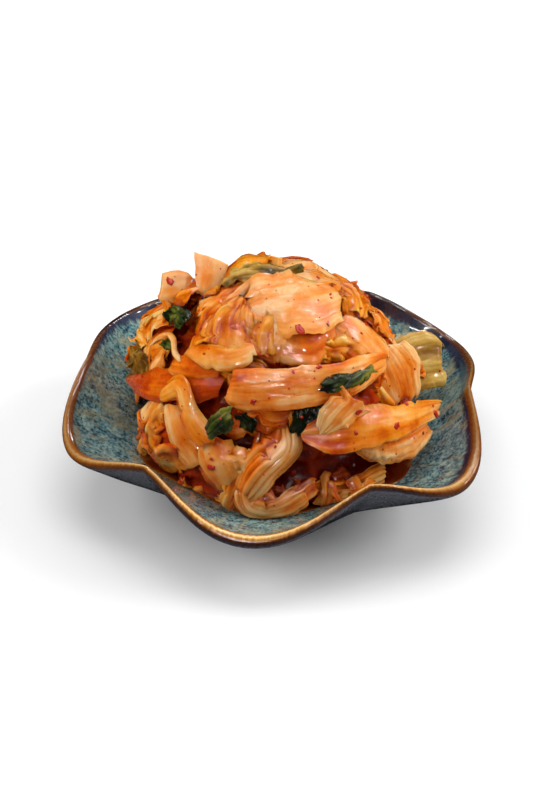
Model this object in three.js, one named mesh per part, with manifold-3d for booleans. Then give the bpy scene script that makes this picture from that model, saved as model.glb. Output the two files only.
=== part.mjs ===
// A helping of cabbage kimchi in a small wavy-rimmed dish. Millimetres, +Z up, the dish standing on z = 0.
import * as THREE from "three";
import { mergeVertices } from "three/addons/utils/BufferGeometryUtils.js";
import Module from "manifold-3d";

const wasm = await Module();
wasm.setup();

// ---- driving dimensions ----

// The dish
const RIM_HEIGHT = 30; // mean height of the rim over the table
const RIM_REACH = 70.5; // mean distance of the rim from the middle
const WAVE_SHARPNESS = 0.25; // 0: a plain cosine between notch and lobe, 1: notches as corners
const WAVE_START = 32; // the floor and the foot are plain inside this radius
const WAVE_GROWTH = 2.1; // power by which the waves grow from there to the rim
const FOOT_SHIFT = 2; // the foot and floor sit this far off the middle of the rim, towards +X
const DISH_SEGMENTS = 60;
// [direction in degrees from +X, reach, height] of each lobe and each notch of the rim
const LOBES = [
  [31, 75.8, 25.5],
  [83, 76, 24],
  [129, 76.3, 27.5],
  [201, 72.6, 25.5],
  [264, 75.4, 25.2],
  [324, 76.4, 25.2],
];
const NOTCHES = [
  [56, 63.5, 37],
  [106, 65.5, 34.5],
  [167, 66, 34],
  [230, 64, 34],
  [297, 67, 34.5],
  [357, 66.5, 34],
];
// [radius, height] at the mean rim: up the inside, over the lip, down the outside, across the foot
const INSIDE = [
  [0, 5.5],
  [22, 5.6],
  [30, 7.2],
  [38, 10],
  [44, 12.4],
  [50, 15.2],
  [56, 18.6],
  [62, 22.6],
  [66.5, 26.2],
];
const LIP = [
  [68.2, 28.4],
  [69.2, 29.6],
  [70.3, 30],
  [71.3, 29.4],
  [71.7, 28.2],
  [71.2, 26.8],
];
const OUTSIDE = [
  [66, 21.2],
  [58, 14.4],
  [48, 8.8],
  [38, 5],
  [33.5, 2.8],
  [32, 0.6],
  [31.4, 0],
  [27.6, 0],
  [27, 0.6],
  [26, 1.8],
  [0, 1.8],
];

// What lies in it
const BRINE_LEVEL = 14;
const CLEARANCE = 0.35; // between neighbouring solids
const PLUG_RADIUS = 37; // the heap is a plain round plug where it stands in the brine
const MOUND_MIDDLE = new THREE.Vector3(0, 3, 14);
const MOUND_RADII = new THREE.Vector3(48, 47, 57);
const CORE_SHARE = 0.93; // the core fills this share of the mound, the leaves do the rest
const CORE_SEGMENTS = 30;

// ---- solids ----

function solid(position, index) {
  const geometry = new THREE.BufferGeometry();
  geometry.setAttribute("position", new THREE.Float32BufferAttribute(position, 3));
  geometry.setIndex(index);
  const merged = mergeVertices(geometry, 1e-4);
  const corners = [...merged.index.array];
  const made = () =>
    new wasm.Manifold(
      new wasm.Mesh({
        numProp: 3,
        vertProperties: new Float32Array(merged.getAttribute("position").array),
        triVerts: new Uint32Array(corners),
      }),
    );
  const first = made();
  if (first.volume() > 0) return first;
  corners.reverse();
  return made();
}

// The largest piece alone: loose scraps and sealed hollows go.
function whole(manifold) {
  const pieces = manifold.decompose();
  return pieces.reduce((a, b) => (b.volume() > a.volume() ? b : a));
}

function node(name, manifold, material) {
  const { numProp, vertProperties, triVerts } = manifold.getMesh();
  const position = Array.from({ length: (vertProperties.length / numProp) * 3 }, (_, i) => {
    return vertProperties[numProp * Math.floor(i / 3) + (i % 3)];
  });
  const geometry = new THREE.BufferGeometry();
  geometry.setAttribute("position", new THREE.Float32BufferAttribute(position, 3));
  geometry.setIndex([...triVerts]);
  geometry.computeVertexNormals();
  const mesh = new THREE.Mesh(geometry, new THREE.MeshStandardMaterial(material));
  mesh.name = name;
  return mesh;
}

// A profile of [radius, height] pairs, from the axis back to the axis, turned about +Z.
function turned(profile, segments, move = () => {}) {
  const lathe = new THREE.LatheGeometry(
    profile.map(([r, z]) => new THREE.Vector2(r, z)),
    segments,
  );
  const point = new THREE.Vector3();
  const position = [];
  for (let column = 0; column <= segments; column++) {
    const turn = ((column % segments) / segments) * 2 * Math.PI;
    for (const [r, z] of profile) {
      point.set(r * Math.cos(turn), r * Math.sin(turn), z);
      move(point, r, turn);
      position.push(...point);
    }
  }
  return solid(position, [...lathe.index.array]);
}

// ---- the dish ----

// Reach and height of the rim in one direction.
function rimAt(turn) {
  const degrees = (turn * 180) / Math.PI;
  const gap = (from, to) => (((to - from) % 360) + 360) % 360;
  const closest = (list, distance) => list.reduce((a, b) => (distance(b) < distance(a) ? b : a));
  const past = (entry) => gap(entry[0], degrees);
  const next = (entry) => gap(degrees, entry[0]);
  const rising = past(closest(NOTCHES, past)) < past(closest(LOBES, past));
  const [notch, lobe] = rising
    ? [closest(NOTCHES, past), closest(LOBES, next)]
    : [closest(NOTCHES, next), closest(LOBES, past)];
  const fromNotch = rising ? past(notch) : next(notch);
  const toLobe = rising ? next(lobe) : past(lobe);
  const s = fromNotch / (fromNotch + toLobe);
  const share =
    ((1 - WAVE_SHARPNESS) * (1 - Math.cos(Math.PI * s))) / 2 + WAVE_SHARPNESS * (1 - (1 - s) ** 2);
  return [notch[1] + (lobe[1] - notch[1]) * share, notch[2] + (lobe[2] - notch[2]) * share];
}

function wave(point, r, turn) {
  const share = Math.max((r - WAVE_START) / (RIM_REACH - WAVE_START), 0) ** WAVE_GROWTH;
  const [reach, height] = rimAt(turn);
  const out = r + share * (reach - RIM_REACH);
  const x = out * Math.cos(turn) + FOOT_SHIFT * (1 - share);
  point.set(x, out * Math.sin(turn), point.z + share * (height - RIM_HEIGHT));
}

const dish = turned([...INSIDE, ...LIP, ...OUTSIDE], DISH_SEGMENTS, wave);

// Everything over the inside of the dish, a clearance away from it.
const CEILING = 110;
const room = turned(
  [...INSIDE.map(([r, z]) => [r, z + 1.2 * CLEARANCE]), [66.5, CEILING], [0, CEILING]],
  DISH_SEGMENTS,
  wave,
);
const slab = (from, to, radius) =>
  wasm.Manifold.cylinder(to - from, radius, radius, DISH_SEGMENTS).translate([0, 0, from]);

const brine = room.intersect(slab(0, BRINE_LEVEL, 66)).subtract(slab(0, 40, PLUG_RADIUS + CLEARANCE));

// ---- the core of the heap ----

const floorAt = (r) => {
  const after = INSIDE.findIndex(([radius]) => radius >= r);
  const [[r0, z0], [r1, z1]] = [INSIDE[after - 1], INSIDE[after]];
  return z0 + ((z1 - z0) * (r - r0)) / (r1 - r0) + 1.3 * CLEARANCE;
};
const SHOULDER = 15.5; // where the mound starts over the plug
const moundProfile = [0, 0.13, 0.28, 0.44, 0.6, 0.76, 0.9, 1].map((share) => {
  const rise = (share * Math.PI) / 2;
  const radius = MOUND_RADII.x * CORE_SHARE * Math.cos(rise);
  return [share === 1 ? 0 : radius, SHOULDER + (MOUND_RADII.z * CORE_SHARE - 2.5) * Math.sin(rise)];
});
const core = turned(
  [
    [0, 5.5 + 1.3 * CLEARANCE],
    ...[22, 30, PLUG_RADIUS].map((r) => [r, floorAt(r)]),
    [PLUG_RADIUS, SHOULDER],
    ...moundProfile,
  ],
  CORE_SEGMENTS,
  (point, r, turn) => {
    const share = Math.min(Math.max((point.z - SHOULDER) / 10, 0), 1);
    const lump = 1 + 0.06 * share * (Math.sin(3 * turn + point.z / 9) + 0.7 * Math.sin(5 * turn - point.z / 6));
    point.x *= lump;
    point.y = point.y * lump + MOUND_MIDDLE.y * share;
  },
);

// Hollows between the pieces: [x, y, z] of the middle and the three radii.
const HOLLOWS = [
  [[8, -27, 53], [14, 9, 5.5]],
  [[-47, -2, 27], [9, 13, 6]],
  [[4, -38, 42], [11, 7, 8]],
  [[24, -43, 27], [12, 8, 5]],
];
const hollows = HOLLOWS.map(([middle, radii]) => wasm.Manifold.sphere(1, 16).scale(radii).translate(middle));
const bareCore = core.intersect(room).subtract(wasm.Manifold.union(hollows));

// ---- leaves ----

// Which way the mound faces at a point.
const outward = (point) => point.clone().sub(MOUND_MIDDLE).divide(MOUND_RADII).divide(MOUND_RADII).normalize();

// One piece of leaf: a thin wavy sheet along a spine of [x, y, z, half width]. It bends across by
// cup and its edges wave by ruffle; the higher ends, the squarer they are. A belly thickens the
// hidden side so that the piece meets what it lies on.
function leaf(spec) {
  const { spine, face, thick = 1.4, cup = 0.2, ruffle = 0, waves = 2, belly = 0, ends = 4 } = spec;
  const { cells = [5, 2], grow = 0 } = spec;
  const curve = new THREE.CatmullRomCurve3(spine.map(([x, y, z]) => new THREE.Vector3(x, y, z)));
  const sheet = new THREE.PlaneGeometry(1, 1, ...cells);
  const grid = sheet.getAttribute("position");
  const halfAt = (s) => {
    const place = s * (spine.length - 1);
    const i = Math.min(Math.floor(place), spine.length - 2);
    const share = (1 - Math.cos(Math.PI * (place - i))) / 2;
    const end = Math.sqrt(1 - 0.85 * Math.abs(2 * s - 1) ** ends);
    return (spine[i][3] * (1 - share) + spine[i + 1][3] * share) * end + grow;
  };
  const at = (s, v, side) => {
    const point = curve.getPoint(s);
    const along = curve.getTangent(s);
    const up = face ? new THREE.Vector3(...face) : outward(point);
    up.addScaledVector(along, -up.dot(along)).normalize();
    const across = new THREE.Vector3().crossVectors(up, along);
    const half = halfAt(s);
    const wavy = ruffle * Math.sin(2 * Math.PI * waves * s + (v > 0 ? 0 : 1.9)) * Math.abs(v) ** 1.5;
    const body = (thick / 2) * (1 - 0.5 * v * v) + grow;
    const under = side < 0 ? belly * (1 - v * v) * Math.sin(Math.PI * s) : 0;
    return point
      .addScaledVector(along, 2 * grow * (s - 0.5))
      .addScaledVector(across, half * v)
      .addScaledVector(up, wavy - cup * half * v * v + side * body - under);
  };
  const position = [];
  for (const side of [1, -1])
    for (let i = 0; i < grid.count; i++) position.push(...at(grid.getX(i) + 0.5, 2 * grid.getY(i), side));
  const index = [...sheet.index.array];
  const [columns, rows] = [cells[0] + 1, cells[1] + 1];
  const edge = [
    ...Array.from({ length: columns }, (_, i) => i),
    ...Array.from({ length: rows - 1 }, (_, i) => (i + 2) * columns - 1),
    ...Array.from({ length: columns - 1 }, (_, i) => rows * columns - 2 - i),
    ...Array.from({ length: rows - 2 }, (_, i) => (rows - 2 - i) * columns),
  ];
  const under = grid.count;
  const triangles = [...index];
  for (let i = 0; i < index.length; i += 3) triangles.push(index[i] + under, index[i + 2] + under, index[i + 1] + under);
  edge.forEach((a, i) => {
    const b = edge[(i + 1) % edge.length];
    triangles.push(a, b, b + under, a, b + under, a + under);
  });
  return solid(position, triangles);
}

const FRONT = [0, -1, 0.5];
const LEAVES = {
  // the upper mass
  topCream: {
    spine: [[-15, -9, 69, 9], [5, -13, 72, 14], [25, -2, 70, 9]],
    thick: 1.8, ruffle: 1, belly: 4, cells: [7, 3],
  },
  topRuffled: {
    spine: [[-29, -9, 63, 7], [-15, -19, 66, 10], [-1, -18, 67, 8]],
    ruffle: 1.6, waves: 2.5, belly: 4, cells: [7, 3],
  },
  topRolledRim: {
    spine: [[-28, -17, 58, 3], [-17, -25, 59, 4], [-6, -25, 61, 4], [1, -21, 64, 2]],
    thick: 2.4, cup: 0.6, belly: 3,
  },
  uprightStem: {
    spine: [[-20, 1, 60, 4], [-20, 9, 70, 5], [-21, 15, 75, 5]],
    face: FRONT, thick: 3, ends: 9,
  },
  farLeftPale: { spine: [[-38, 9, 66, 5], [-31, 8, 69, 6], [-23, 8, 67, 5]], thick: 1.8, belly: 5, ends: 9 },
  topOrangeLump: { spine: [[-14, 13, 70, 4], [-7, 17, 72, 5], [2, 16, 71, 4]], ruffle: 1, belly: 7 },
  topPaleBit: { spine: [[0, 12, 66, 2.5], [0, 18, 73, 2.5]], face: FRONT, thick: 1.6, cells: [3, 2] },
  rightTopFrill: {
    spine: [[20, 13, 66, 4], [27, 8, 65, 5], [29, 0, 60, 5]],
    face: [0.7, -0.4, 0.6], ruffle: 1.4, belly: 7,
  },
  rightPeach: {
    spine: [[20, -14, 64, 8], [29, -14, 60, 10], [38, -14, 49, 7]],
    thick: 2, cup: 0.3, belly: 3, cells: [6, 2],
  },
  leftWavy: {
    spine: [[-48, 14, 47, 7], [-39, 10, 55, 9], [-28, 3, 63, 7]],
    ruffle: 1.5, waves: 1.5, belly: 4, cells: [6, 2],
  },
  leftWorm: {
    spine: [[-41, 0, 49, 2], [-37, -7, 54, 2.5], [-32, -15, 56, 2.5], [-28, -17, 53, 2]],
    thick: 2.4, belly: 7,
  },
  leftBrown: { spine: [[-50, 10, 38, 4], [-46, 2, 40, 4], [-42, -6, 41, 4]], ruffle: 1, belly: 3 },
  leftOrange: { spine: [[-47, 3, 40, 4], [-40, -9, 47, 5], [-33, -19, 50, 4]], ruffle: 1, belly: 3 },
  flatLeft: {
    spine: [[-50, 4, 33, 3], [-42, -10, 38, 5], [-32, -24, 48, 6], [-17, -30, 53, 5]],
    face: [-0.4, -0.6, 0.7], belly: 3,
  },
  flatStrip: { spine: [[-29, -20, 55, 3], [-21, -26, 56, 4], [-12, -27, 57, 3]], belly: 3 },
  recessFrill: { spine: [[11, -22, 62, 4], [19, -21, 61, 5], [28, -18, 58, 5]], ruffle: 1.4, belly: 2 },
  recessBits: { spine: [[-3, -19, 59, 4], [7, -22, 56, 4], [15, -21, 56, 4]], ruffle: 1, belly: 3 },

  // the lower mass
  midStem: {
    spine: [[-16, -33, 53, 6], [5, -36, 55, 7], [23, -30, 55, 6], [38, -15, 51, 4]],
    face: FRONT, thick: 3.4, belly: 3, ends: 9, cells: [7, 3],
  },
  midLobe: { spine: [[-11, -36, 50, 3], [-4, -38, 48, 4], [4, -37, 48, 3]], face: FRONT, belly: 4 },
  rightPale: {
    spine: [[33, -6, 57, 6], [42, -6, 44, 9], [47, -9, 28, 7]],
    face: [0.8, -0.5, 0.35], thick: 2.6, belly: 4, cells: [6, 2],
  },
  rightOlive: {
    spine: [[49, 23, 39, 7], [55, 15, 32, 10], [50, 3, 26, 7]],
    face: [0.45, -0.45, 0.75], thick: 2.8, cup: 0.1, belly: 8, cells: [6, 2],
  },
  frontRight: {
    spine: [[8, -42, 40, 4], [25, -39, 40, 9], [42, -30, 33, 11], [57, -11, 31, 3]],
    face: [0.3, -0.8, 0.6], thick: 2, cup: 0.3, ruffle: 0.8, belly: 7, cells: [8, 3],
  },
  frontRightFrill: {
    spine: [[17, -36, 46, 3], [24, -35, 48, 5], [31, -33, 48, 3]],
    face: FRONT, ruffle: 1.2, belly: 5,
  },
  wetRight: { spine: [[8, -42, 23, 5], [23, -39, 20, 6], [39, -28, 18, 5]], ruffle: 1.2, belly: 4 },
  wetFront: { spine: [[13, -44, 19, 4], [24, -41, 18, 4], [33, -35, 19, 4]], ruffle: 0.8, belly: 4 },
  twistTop: {
    spine: [[1, -36, 45, 4], [5, -46, 37, 7], [-4, -50, 29, 7], [-9, -51, 22, 6]],
    thick: 2, cup: 0.4, belly: 9, cells: [7, 3],
  },
  twistFoot: {
    spine: [[-9, -50, 23, 5], [-3, -52, 19, 5], [5, -51, 21, 6], [13, -47, 25, 5]],
    thick: 2, belly: 9, cells: [7, 2],
  },
  frontLeftPale: {
    spine: [[-36, -22, 41, 7], [-32, -33, 33, 9], [-22, -42, 25, 7]],
    thick: 2.4, cup: 0.4, belly: 4, cells: [6, 2],
  },
  foldedStrip: {
    spine: [[-39, -21, 42, 3], [-32, -26, 50, 4], [-28, -34, 43, 4], [-21, -42, 35, 4]],
    thick: 1.8, belly: 5,
  },
  leftmost: { spine: [[-37, -18, 42, 5], [-43, -21, 30, 6], [-39, -28, 20, 6]], ruffle: 1.4, belly: 3 },
  frontCream: {
    spine: [[-22, -37, 38, 7], [-19, -45, 30, 8], [-13, -48, 22, 6]],
    thick: 1.8, cup: 0.3, belly: 6, cells: [6, 2],
  },
  frontTail: { spine: [[-9, -44, 31, 4], [-13, -48, 24, 4], [-16, -50, 17, 3]], belly: 7 },
  frontLumps: { spine: [[-10, -41, 37, 4], [-8, -46, 32, 4], [-5, -47, 27, 4]], ruffle: 1, belly: 6 },
  frontStrands: { spine: [[-4, -37, 40, 3], [-4, -41, 34, 3], [-2, -44, 30, 3]], belly: 4 },
  smallCurl: { spine: [[1, -33, 49, 1.5], [6, -38, 46, 2], [6, -40, 42, 1.5]], belly: 2 },
};

// The far side carries more of the same, laid in rows by rule:
// [height, how many, first and last direction in degrees, half width].
const FAR_ROWS = [
  [25, 5, 18, 162, 9],
  [40, 4, 30, 150, 9],
  [54, 3, 40, 150, 9],
  [65, 2, 60, 130, 8],
];
function onMound(degrees, height, lift) {
  const rise = Math.min((height - MOUND_MIDDLE.z) / MOUND_RADII.z, 0.98);
  const round = Math.sqrt(1 - rise * rise);
  const turn = THREE.MathUtils.degToRad(degrees);
  const direction = new THREE.Vector3(round * Math.cos(turn), round * Math.sin(turn), rise);
  const point = direction.multiply(MOUND_RADII).add(MOUND_MIDDLE);
  return point.addScaledVector(outward(point), lift);
}
const farLeaves = FAR_ROWS.flatMap(([height, count, first, last, half], row) =>
  Array.from({ length: count }, (_, i) => {
    const middle = first + ((last - first) * i) / (count - 1);
    const slant = ((i + row) % 2 ? 1 : -1) * (6 + 2 * ((i + 2 * row) % 3));
    const reach = 12 / Math.cos(Math.asin(Math.min((height - 14) / 57, 0.95)));
    const spine = [-1, 0, 1].map((step) => {
      const point = onMound(middle + step * reach, height + step * slant, step ? 0.5 : 2);
      return [...point, half * (step ? 0.75 : 1)];
    });
    return { spine, ruffle: i % 2 ? 1.8 : 0.6, waves: 2 + (i % 2), thick: i % 3 ? 1.4 : 2.4, belly: 4 };
  }),
);

// Scallion and dark green leaf, each a solid of its own.
const GREENS = {
  scallion_top: {
    spine: [[-17, 5, 70, 2.6], [-8, 4, 75, 3.5], [3, 4, 75, 3.2], [10, 8, 75, 2.2]],
    face: [0, -0.4, 1], thick: 2.6, cup: 0.3, cells: [8, 3],
  },
  scallion_right: {
    spine: [[14, -38, 56, 2.2], [24, -35, 57, 3], [33, -27, 55, 2.6]],
    face: [0, -1, 0.7], thick: 2.4, cells: [7, 3],
  },
  scallion_left: {
    spine: [[-35, 3, 62, 3], [-32, -3, 63, 3.5], [-29, -8, 63, 3]],
    thick: 2.2, cells: [6, 3],
  },
  greens_left: {
    spine: [[-22, -39, 39, 3], [-17, -39, 46, 4], [-9, -38, 48, 3]],
    face: [0, -0.9, 0.5], thick: 2, cells: [6, 2],
  },
  greens_middle: {
    spine: [[8, -38, 40, 4], [11, -37, 46, 5], [14, -35, 50, 4]],
    face: [0.1, -1, 0.3], thick: 1.8, cells: [6, 3],
  },
};

const greens = Object.entries(GREENS).map(([name, spec]) => [name, leaf(spec)]);
const greensGrown = wasm.Manifold.union(Object.values(GREENS).map((spec) => leaf({ ...spec, grow: CLEARANCE })));

// Leaves keep clear of the dish and stop over the brine.
const clearRoom = room.subtract(slab(0, BRINE_LEVEL + CLEARANCE, 70));
const leaves = [...Object.values(LEAVES), ...farLeaves].map((spec) => leaf(spec).intersect(clearRoom));
const bareHeap = whole(wasm.Manifold.union([bareCore, ...leaves]).subtract(greensGrown));

// Chilli flakes, pressed on the pieces: [direction in degrees, height, half length].
const FLAKES = [
  [149, 60, 2], [288, 63, 2.6], [247, 28, 2.2], [278, 24, 2], [341, 28, 2.4],
  [317, 35, 2.2], [302, 43, 1.8], [342, 62, 2], [261, 48, 2], [291, 55, 1.6],
  [75, 45, 2], [120, 35, 2], [30, 52, 2.2], [165, 40, 2],
];
const heapMesh = node("bare_heap", bareHeap, { side: THREE.DoubleSide });
const flakes = FLAKES.map(([degrees, height, half]) => {
  const from = onMound(degrees, height, 25);
  const inward = outward(from).negate();
  const [hit] = new THREE.Raycaster(from, inward).intersectObject(heapMesh);
  const along = new THREE.Vector3(-inward.y, inward.x, 0.5 * Math.sin(degrees)).normalize();
  const ends = [-1, 1].map((step) => [...hit.point.clone().addScaledVector(along, step * half), half * 0.7]);
  return leaf({ spine: ends, face: [...inward.negate()], thick: 1.6, cup: 0, ends: 9, cells: [2, 1] });
});

const heap = whole(wasm.Manifold.union([bareHeap, ...flakes]).subtract(greensGrown).simplify(0.1));

export default new THREE.Group().add(
  node("bowl", dish, { color: 0x4a6670, roughness: 0.25 }),
  node("brine", brine, { color: 0xa03a08, roughness: 0.1 }),
  node("kimchi_heap", heap, { color: 0xe08a3c, roughness: 0.4 }),
  ...greens.map(([name, green]) => node(name, green, { color: 0x6b6a2c, roughness: 0.4 })),
);
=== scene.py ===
"""Kimchi heaped in a small wavy dish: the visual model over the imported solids.

Lengths are in millimetres in the +Z-up frame of the CAD; MM turns them into Blender's metres.
"""

import math

import bpy
import numpy as np
from mathutils import Matrix, Vector
from mathutils.bvhtree import BVHTree


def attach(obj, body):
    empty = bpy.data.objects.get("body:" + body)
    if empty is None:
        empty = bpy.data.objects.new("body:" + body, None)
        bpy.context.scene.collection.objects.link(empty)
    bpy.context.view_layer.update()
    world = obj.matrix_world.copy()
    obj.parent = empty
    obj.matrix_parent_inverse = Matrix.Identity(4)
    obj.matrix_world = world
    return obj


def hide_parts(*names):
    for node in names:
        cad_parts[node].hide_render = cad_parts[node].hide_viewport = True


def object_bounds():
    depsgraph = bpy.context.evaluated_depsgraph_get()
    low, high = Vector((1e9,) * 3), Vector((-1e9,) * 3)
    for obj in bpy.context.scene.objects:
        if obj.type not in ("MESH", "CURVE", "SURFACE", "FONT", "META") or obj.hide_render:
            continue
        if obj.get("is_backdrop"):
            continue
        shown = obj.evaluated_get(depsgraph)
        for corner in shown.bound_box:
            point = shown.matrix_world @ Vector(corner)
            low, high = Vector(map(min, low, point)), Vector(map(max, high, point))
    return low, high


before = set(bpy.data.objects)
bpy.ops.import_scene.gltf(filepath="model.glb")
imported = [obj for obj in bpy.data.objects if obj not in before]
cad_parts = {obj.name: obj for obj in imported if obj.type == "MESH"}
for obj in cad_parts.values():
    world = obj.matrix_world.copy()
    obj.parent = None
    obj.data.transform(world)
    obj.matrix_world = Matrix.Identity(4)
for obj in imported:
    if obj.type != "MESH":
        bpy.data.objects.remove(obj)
cad_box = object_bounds()

MM = 0.001

# ---- driving dimensions, as the CAD has them ----

RIM_HEIGHT = 30
RIM_REACH = 70.5
WAVE_SHARPNESS = 0.25
WAVE_START = 32
WAVE_GROWTH = 2.1
FOOT_SHIFT = 2
# [direction in degrees from +X, reach, height] of each lobe and each notch of the rim
LOBES = [[31, 75.8, 25.5], [83, 76, 24], [129, 76.3, 27.5], [201, 72.6, 25.5], [264, 75.4, 25.2], [324, 76.4, 25.2]]
NOTCHES = [[56, 63.5, 37], [106, 65.5, 34.5], [167, 66, 34], [230, 64, 34], [297, 67, 34.5], [357, 66.5, 34]]
# [radius, height] of the dish's cross-section, before the rim's waves
INSIDE = [[0, 5.5], [22, 5.6], [30, 7.2], [38, 10], [44, 12.4], [50, 15.2], [56, 18.6], [62, 22.6], [66.5, 26.2]]
LIP = [[68.2, 28.4], [69.2, 29.6], [70.3, 30], [71.3, 29.4], [71.7, 28.2], [71.2, 26.8]]
OUTSIDE = [[66, 21.2], [58, 14.4], [48, 8.8], [38, 5], [33.5, 2.8], [32, 0.6], [31.4, 0], [27.6, 0], [27, 0.6]]
OUTSIDE += [[26, 1.8], [0, 1.8]]
BRINE_LEVEL = 14
MOUND_MIDDLE = np.array([0.0, 3.0, 14.0])
MOUND_RADII = np.array([48.0, 47.0, 57.0])
CORE_SHARE = 0.93
PLUG_RADIUS = 37
PLUG_BOTTOM = 10.5
SHOULDER = 15.5
# [middle, radii] of each hollow in the core
HOLLOWS = [
    [[8, -27, 53], [14, 9, 5.5]],
    [[-47, -2, 27], [9, 13, 6]],
    [[4, -38, 42], [11, 7, 8]],
    [[24, -43, 27], [12, 8, 5]],
]

# ---- how finely the scene shows them ----

DISH_SEGMENTS = 320
DISH_STEPS = 5  # between two knots of the cross-section
BRINE_SEGMENTS, BRINE_RINGS = 200, 32
CORE_SEGMENTS, CORE_RINGS, PLUG_RINGS = 220, 100, 16
CELL, SMALL_CELL, COARSE_CELL = 0.42, 0.35, 0.6  # size of a leaf's mesh cell

# ---- how far the parts stay apart, or reach into one another ----

LEAF_CLEARANCE, CORE_CLEARANCE = 0.3, 0.5  # over the inside of the dish
SHORE_OVERLAP = 0.5  # of the brine into the wall, so no gap shows
DRAPE_LIFT, FLAKE_LIFT = 0.35, 0.12

# ---- darkening of leaf deep in the heap and in its crevices: painted shade, and juice stain in the crevices ----

SHADE_FLOOR = 0.36
DEEP_PAINTED_SHADE = 0.4
DEEP_FROM_TO = (0.96, 0.78)  # shares of the mound's radii
MM_PER_SHARE = 50  # of those radii
JUICE_AND_SHADE_DEPTHS = (-1.5, 6)  # mm under the eased outline
JUICE_AND_SHADE_PER_MM = 0.034

# ---- noise ----

noise_rng = np.random.default_rng(7)
PERM = np.tile(noise_rng.permutation(256), 3)
GRADIENTS = noise_rng.normal(size=(256, 3))
GRADIENTS /= np.linalg.norm(GRADIENTS, axis=1)[:, None]


def noise(x, y, z=0.0, seed=0):
    """Smooth gradient noise, about -1 to 1, of arrays of coordinates."""
    x, y, z = np.broadcast_arrays(np.asarray(x, float), np.asarray(y, float), np.asarray(z, float) + 13.7 * seed)
    p = np.stack([x.ravel(), y.ravel(), z.ravel()])
    cell = np.floor(p).astype(int)
    f = p - cell
    u = f * f * f * (f * (f * 6 - 15) + 10)
    total = np.zeros(p.shape[1])
    for dx, dy, dz in np.ndindex(2, 2, 2):
        h = PERM[PERM[PERM[(cell[0] + dx) & 255] + ((cell[1] + dy) & 255)] + ((cell[2] + dz) & 255)]
        g = GRADIENTS[h]
        dot = g[:, 0] * (f[0] - dx) + g[:, 1] * (f[1] - dy) + g[:, 2] * (f[2] - dz)
        w = (u[0] if dx else 1 - u[0]) * (u[1] if dy else 1 - u[1]) * (u[2] if dz else 1 - u[2])
        total += w * dot
    return (1.6 * total).reshape(x.shape)


def smooth(low, high, x):
    t = np.clip((np.asarray(x, float) - low) / (high - low), 0, 1)
    return t * t * (3 - 2 * t)


# ---- mesh helpers ----

INSIDE_OUT = [0, 3, 2, 1]  # order of a quad's corners that turns it round


def unit(v):
    return v / np.maximum(np.linalg.norm(v, axis=-1, keepdims=True), 1e-9)


def turns_of(count):
    return np.arange(count) / count * 2 * np.pi


def grid_faces(rows, columns, start, flip):
    """Quads of a grid of rows by columns vertices, stored row by row."""
    i, j = np.arange(rows - 1)[:, None] * columns + start, np.arange(columns - 1)
    quads = np.stack([i + j, i + j + 1, i + columns + j + 1, i + columns + j], -1).reshape(-1, 4)
    return quads[:, ::-1] if flip else quads


def ring_faces(segments, columns, start=0):
    """Quads of a ring of vertices, stored segment by segment, each of them columns long."""
    i, k = np.arange(segments)[:, None], np.arange(columns - 1)
    near, far = start + i * columns + k, start + (i + 1) % segments * columns + k
    return np.stack([near, near + 1, far + 1, far], -1).reshape(-1, 4)


def belt_faces(loop, offset):
    """Quads between a closed loop of vertices and the loop stored offset after it."""
    after = np.roll(loop, -1)
    return np.stack([loop, loop + offset, after + offset, after], -1)


def cap_faces(loop, centre):
    """Triangles between a closed loop of vertices and one vertex."""
    return np.stack([loop, np.roll(loop, -1), np.full(len(loop), centre)], -1)


def linked(made):
    bpy.context.scene.collection.objects.link(made)
    return made


class Pieces:
    """Gathers the parts of one Blender object: vertices, faces and values at the vertices."""

    def __init__(self):
        self.points, self.faces, self.values, self.count = [], [], {}, 0

    def add(self, points, faces, values=None):
        points = np.asarray(points, float).reshape(-1, 3)
        self.faces += [np.asarray(f, int) + self.count for f in faces]
        self.points.append(points)
        for key, value in (values or {}).items():
            width = 3 if key in ("grain", "around") else 1
            value = np.asarray(value, float).reshape(-1, width)
            self.values.setdefault(key, []).append(np.broadcast_to(value, (len(points), width)))
        self.count += len(points)
        return self

    def triangles(self):
        return sum(len(f) * (f.shape[1] - 2) for f in self.faces)

    def make(self, name, material, slot, nodes=()):
        mesh = bpy.data.meshes.new(name)
        points = (np.concatenate(self.points) * MM).tolist()
        mesh.from_pydata(points, [], [f for block in self.faces for f in block.tolist()], shade_flat=False)
        mesh.validate()
        for key, parts in self.values.items():
            data = np.concatenate(parts).astype(np.float32)
            kind, field = ("FLOAT_VECTOR", "vector") if data.shape[1] == 3 else ("FLOAT", "value")
            mesh.attributes.new(key, kind, "POINT").data.foreach_set(field, data.ravel())
        mesh.materials.append(material)
        piece = linked(bpy.data.objects.new(name, mesh))
        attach(piece, "root")
        if nodes:
            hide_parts(*nodes)
        print(f"piece {name}: {self.triangles()} triangles")


def curve(knots, s):
    """Centripetal Catmull-Rom through knots (n, k) by the first three columns, at shares s of the way."""
    knots = np.asarray(knots, float)
    place = np.asarray(s, float) * (len(knots) - 1)
    i = np.minimum(place.astype(int), len(knots) - 2)
    t = (place - i)[:, None]
    padded = np.vstack([2 * knots[0] - knots[1], knots, 2 * knots[-1] - knots[-2]])
    p0, p1, p2, p3 = (padded[i + k] for k in range(4))
    squares = [np.sum((b[:, :3] - a[:, :3]) ** 2, 1) for a, b in ((p0, p1), (p1, p2), (p2, p3))]
    d0, d1, d2 = (np.maximum(square, 1e-6)[:, None] ** 0.25 for square in squares)
    m1 = ((p1 - p0) / d0 - (p2 - p0) / (d0 + d1) + (p2 - p1) / d1) * d1
    m2 = ((p2 - p1) / d1 - (p3 - p1) / (d1 + d2) + (p3 - p2) / d2) * d1
    c2, c3 = -3 * p1 + 3 * p2 - 2 * m1 - m2, 2 * p1 - 2 * p2 + m1 + m2
    return p1 + m1 * t + c2 * t**2 + c3 * t**3


# ---- the dish ----


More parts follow.
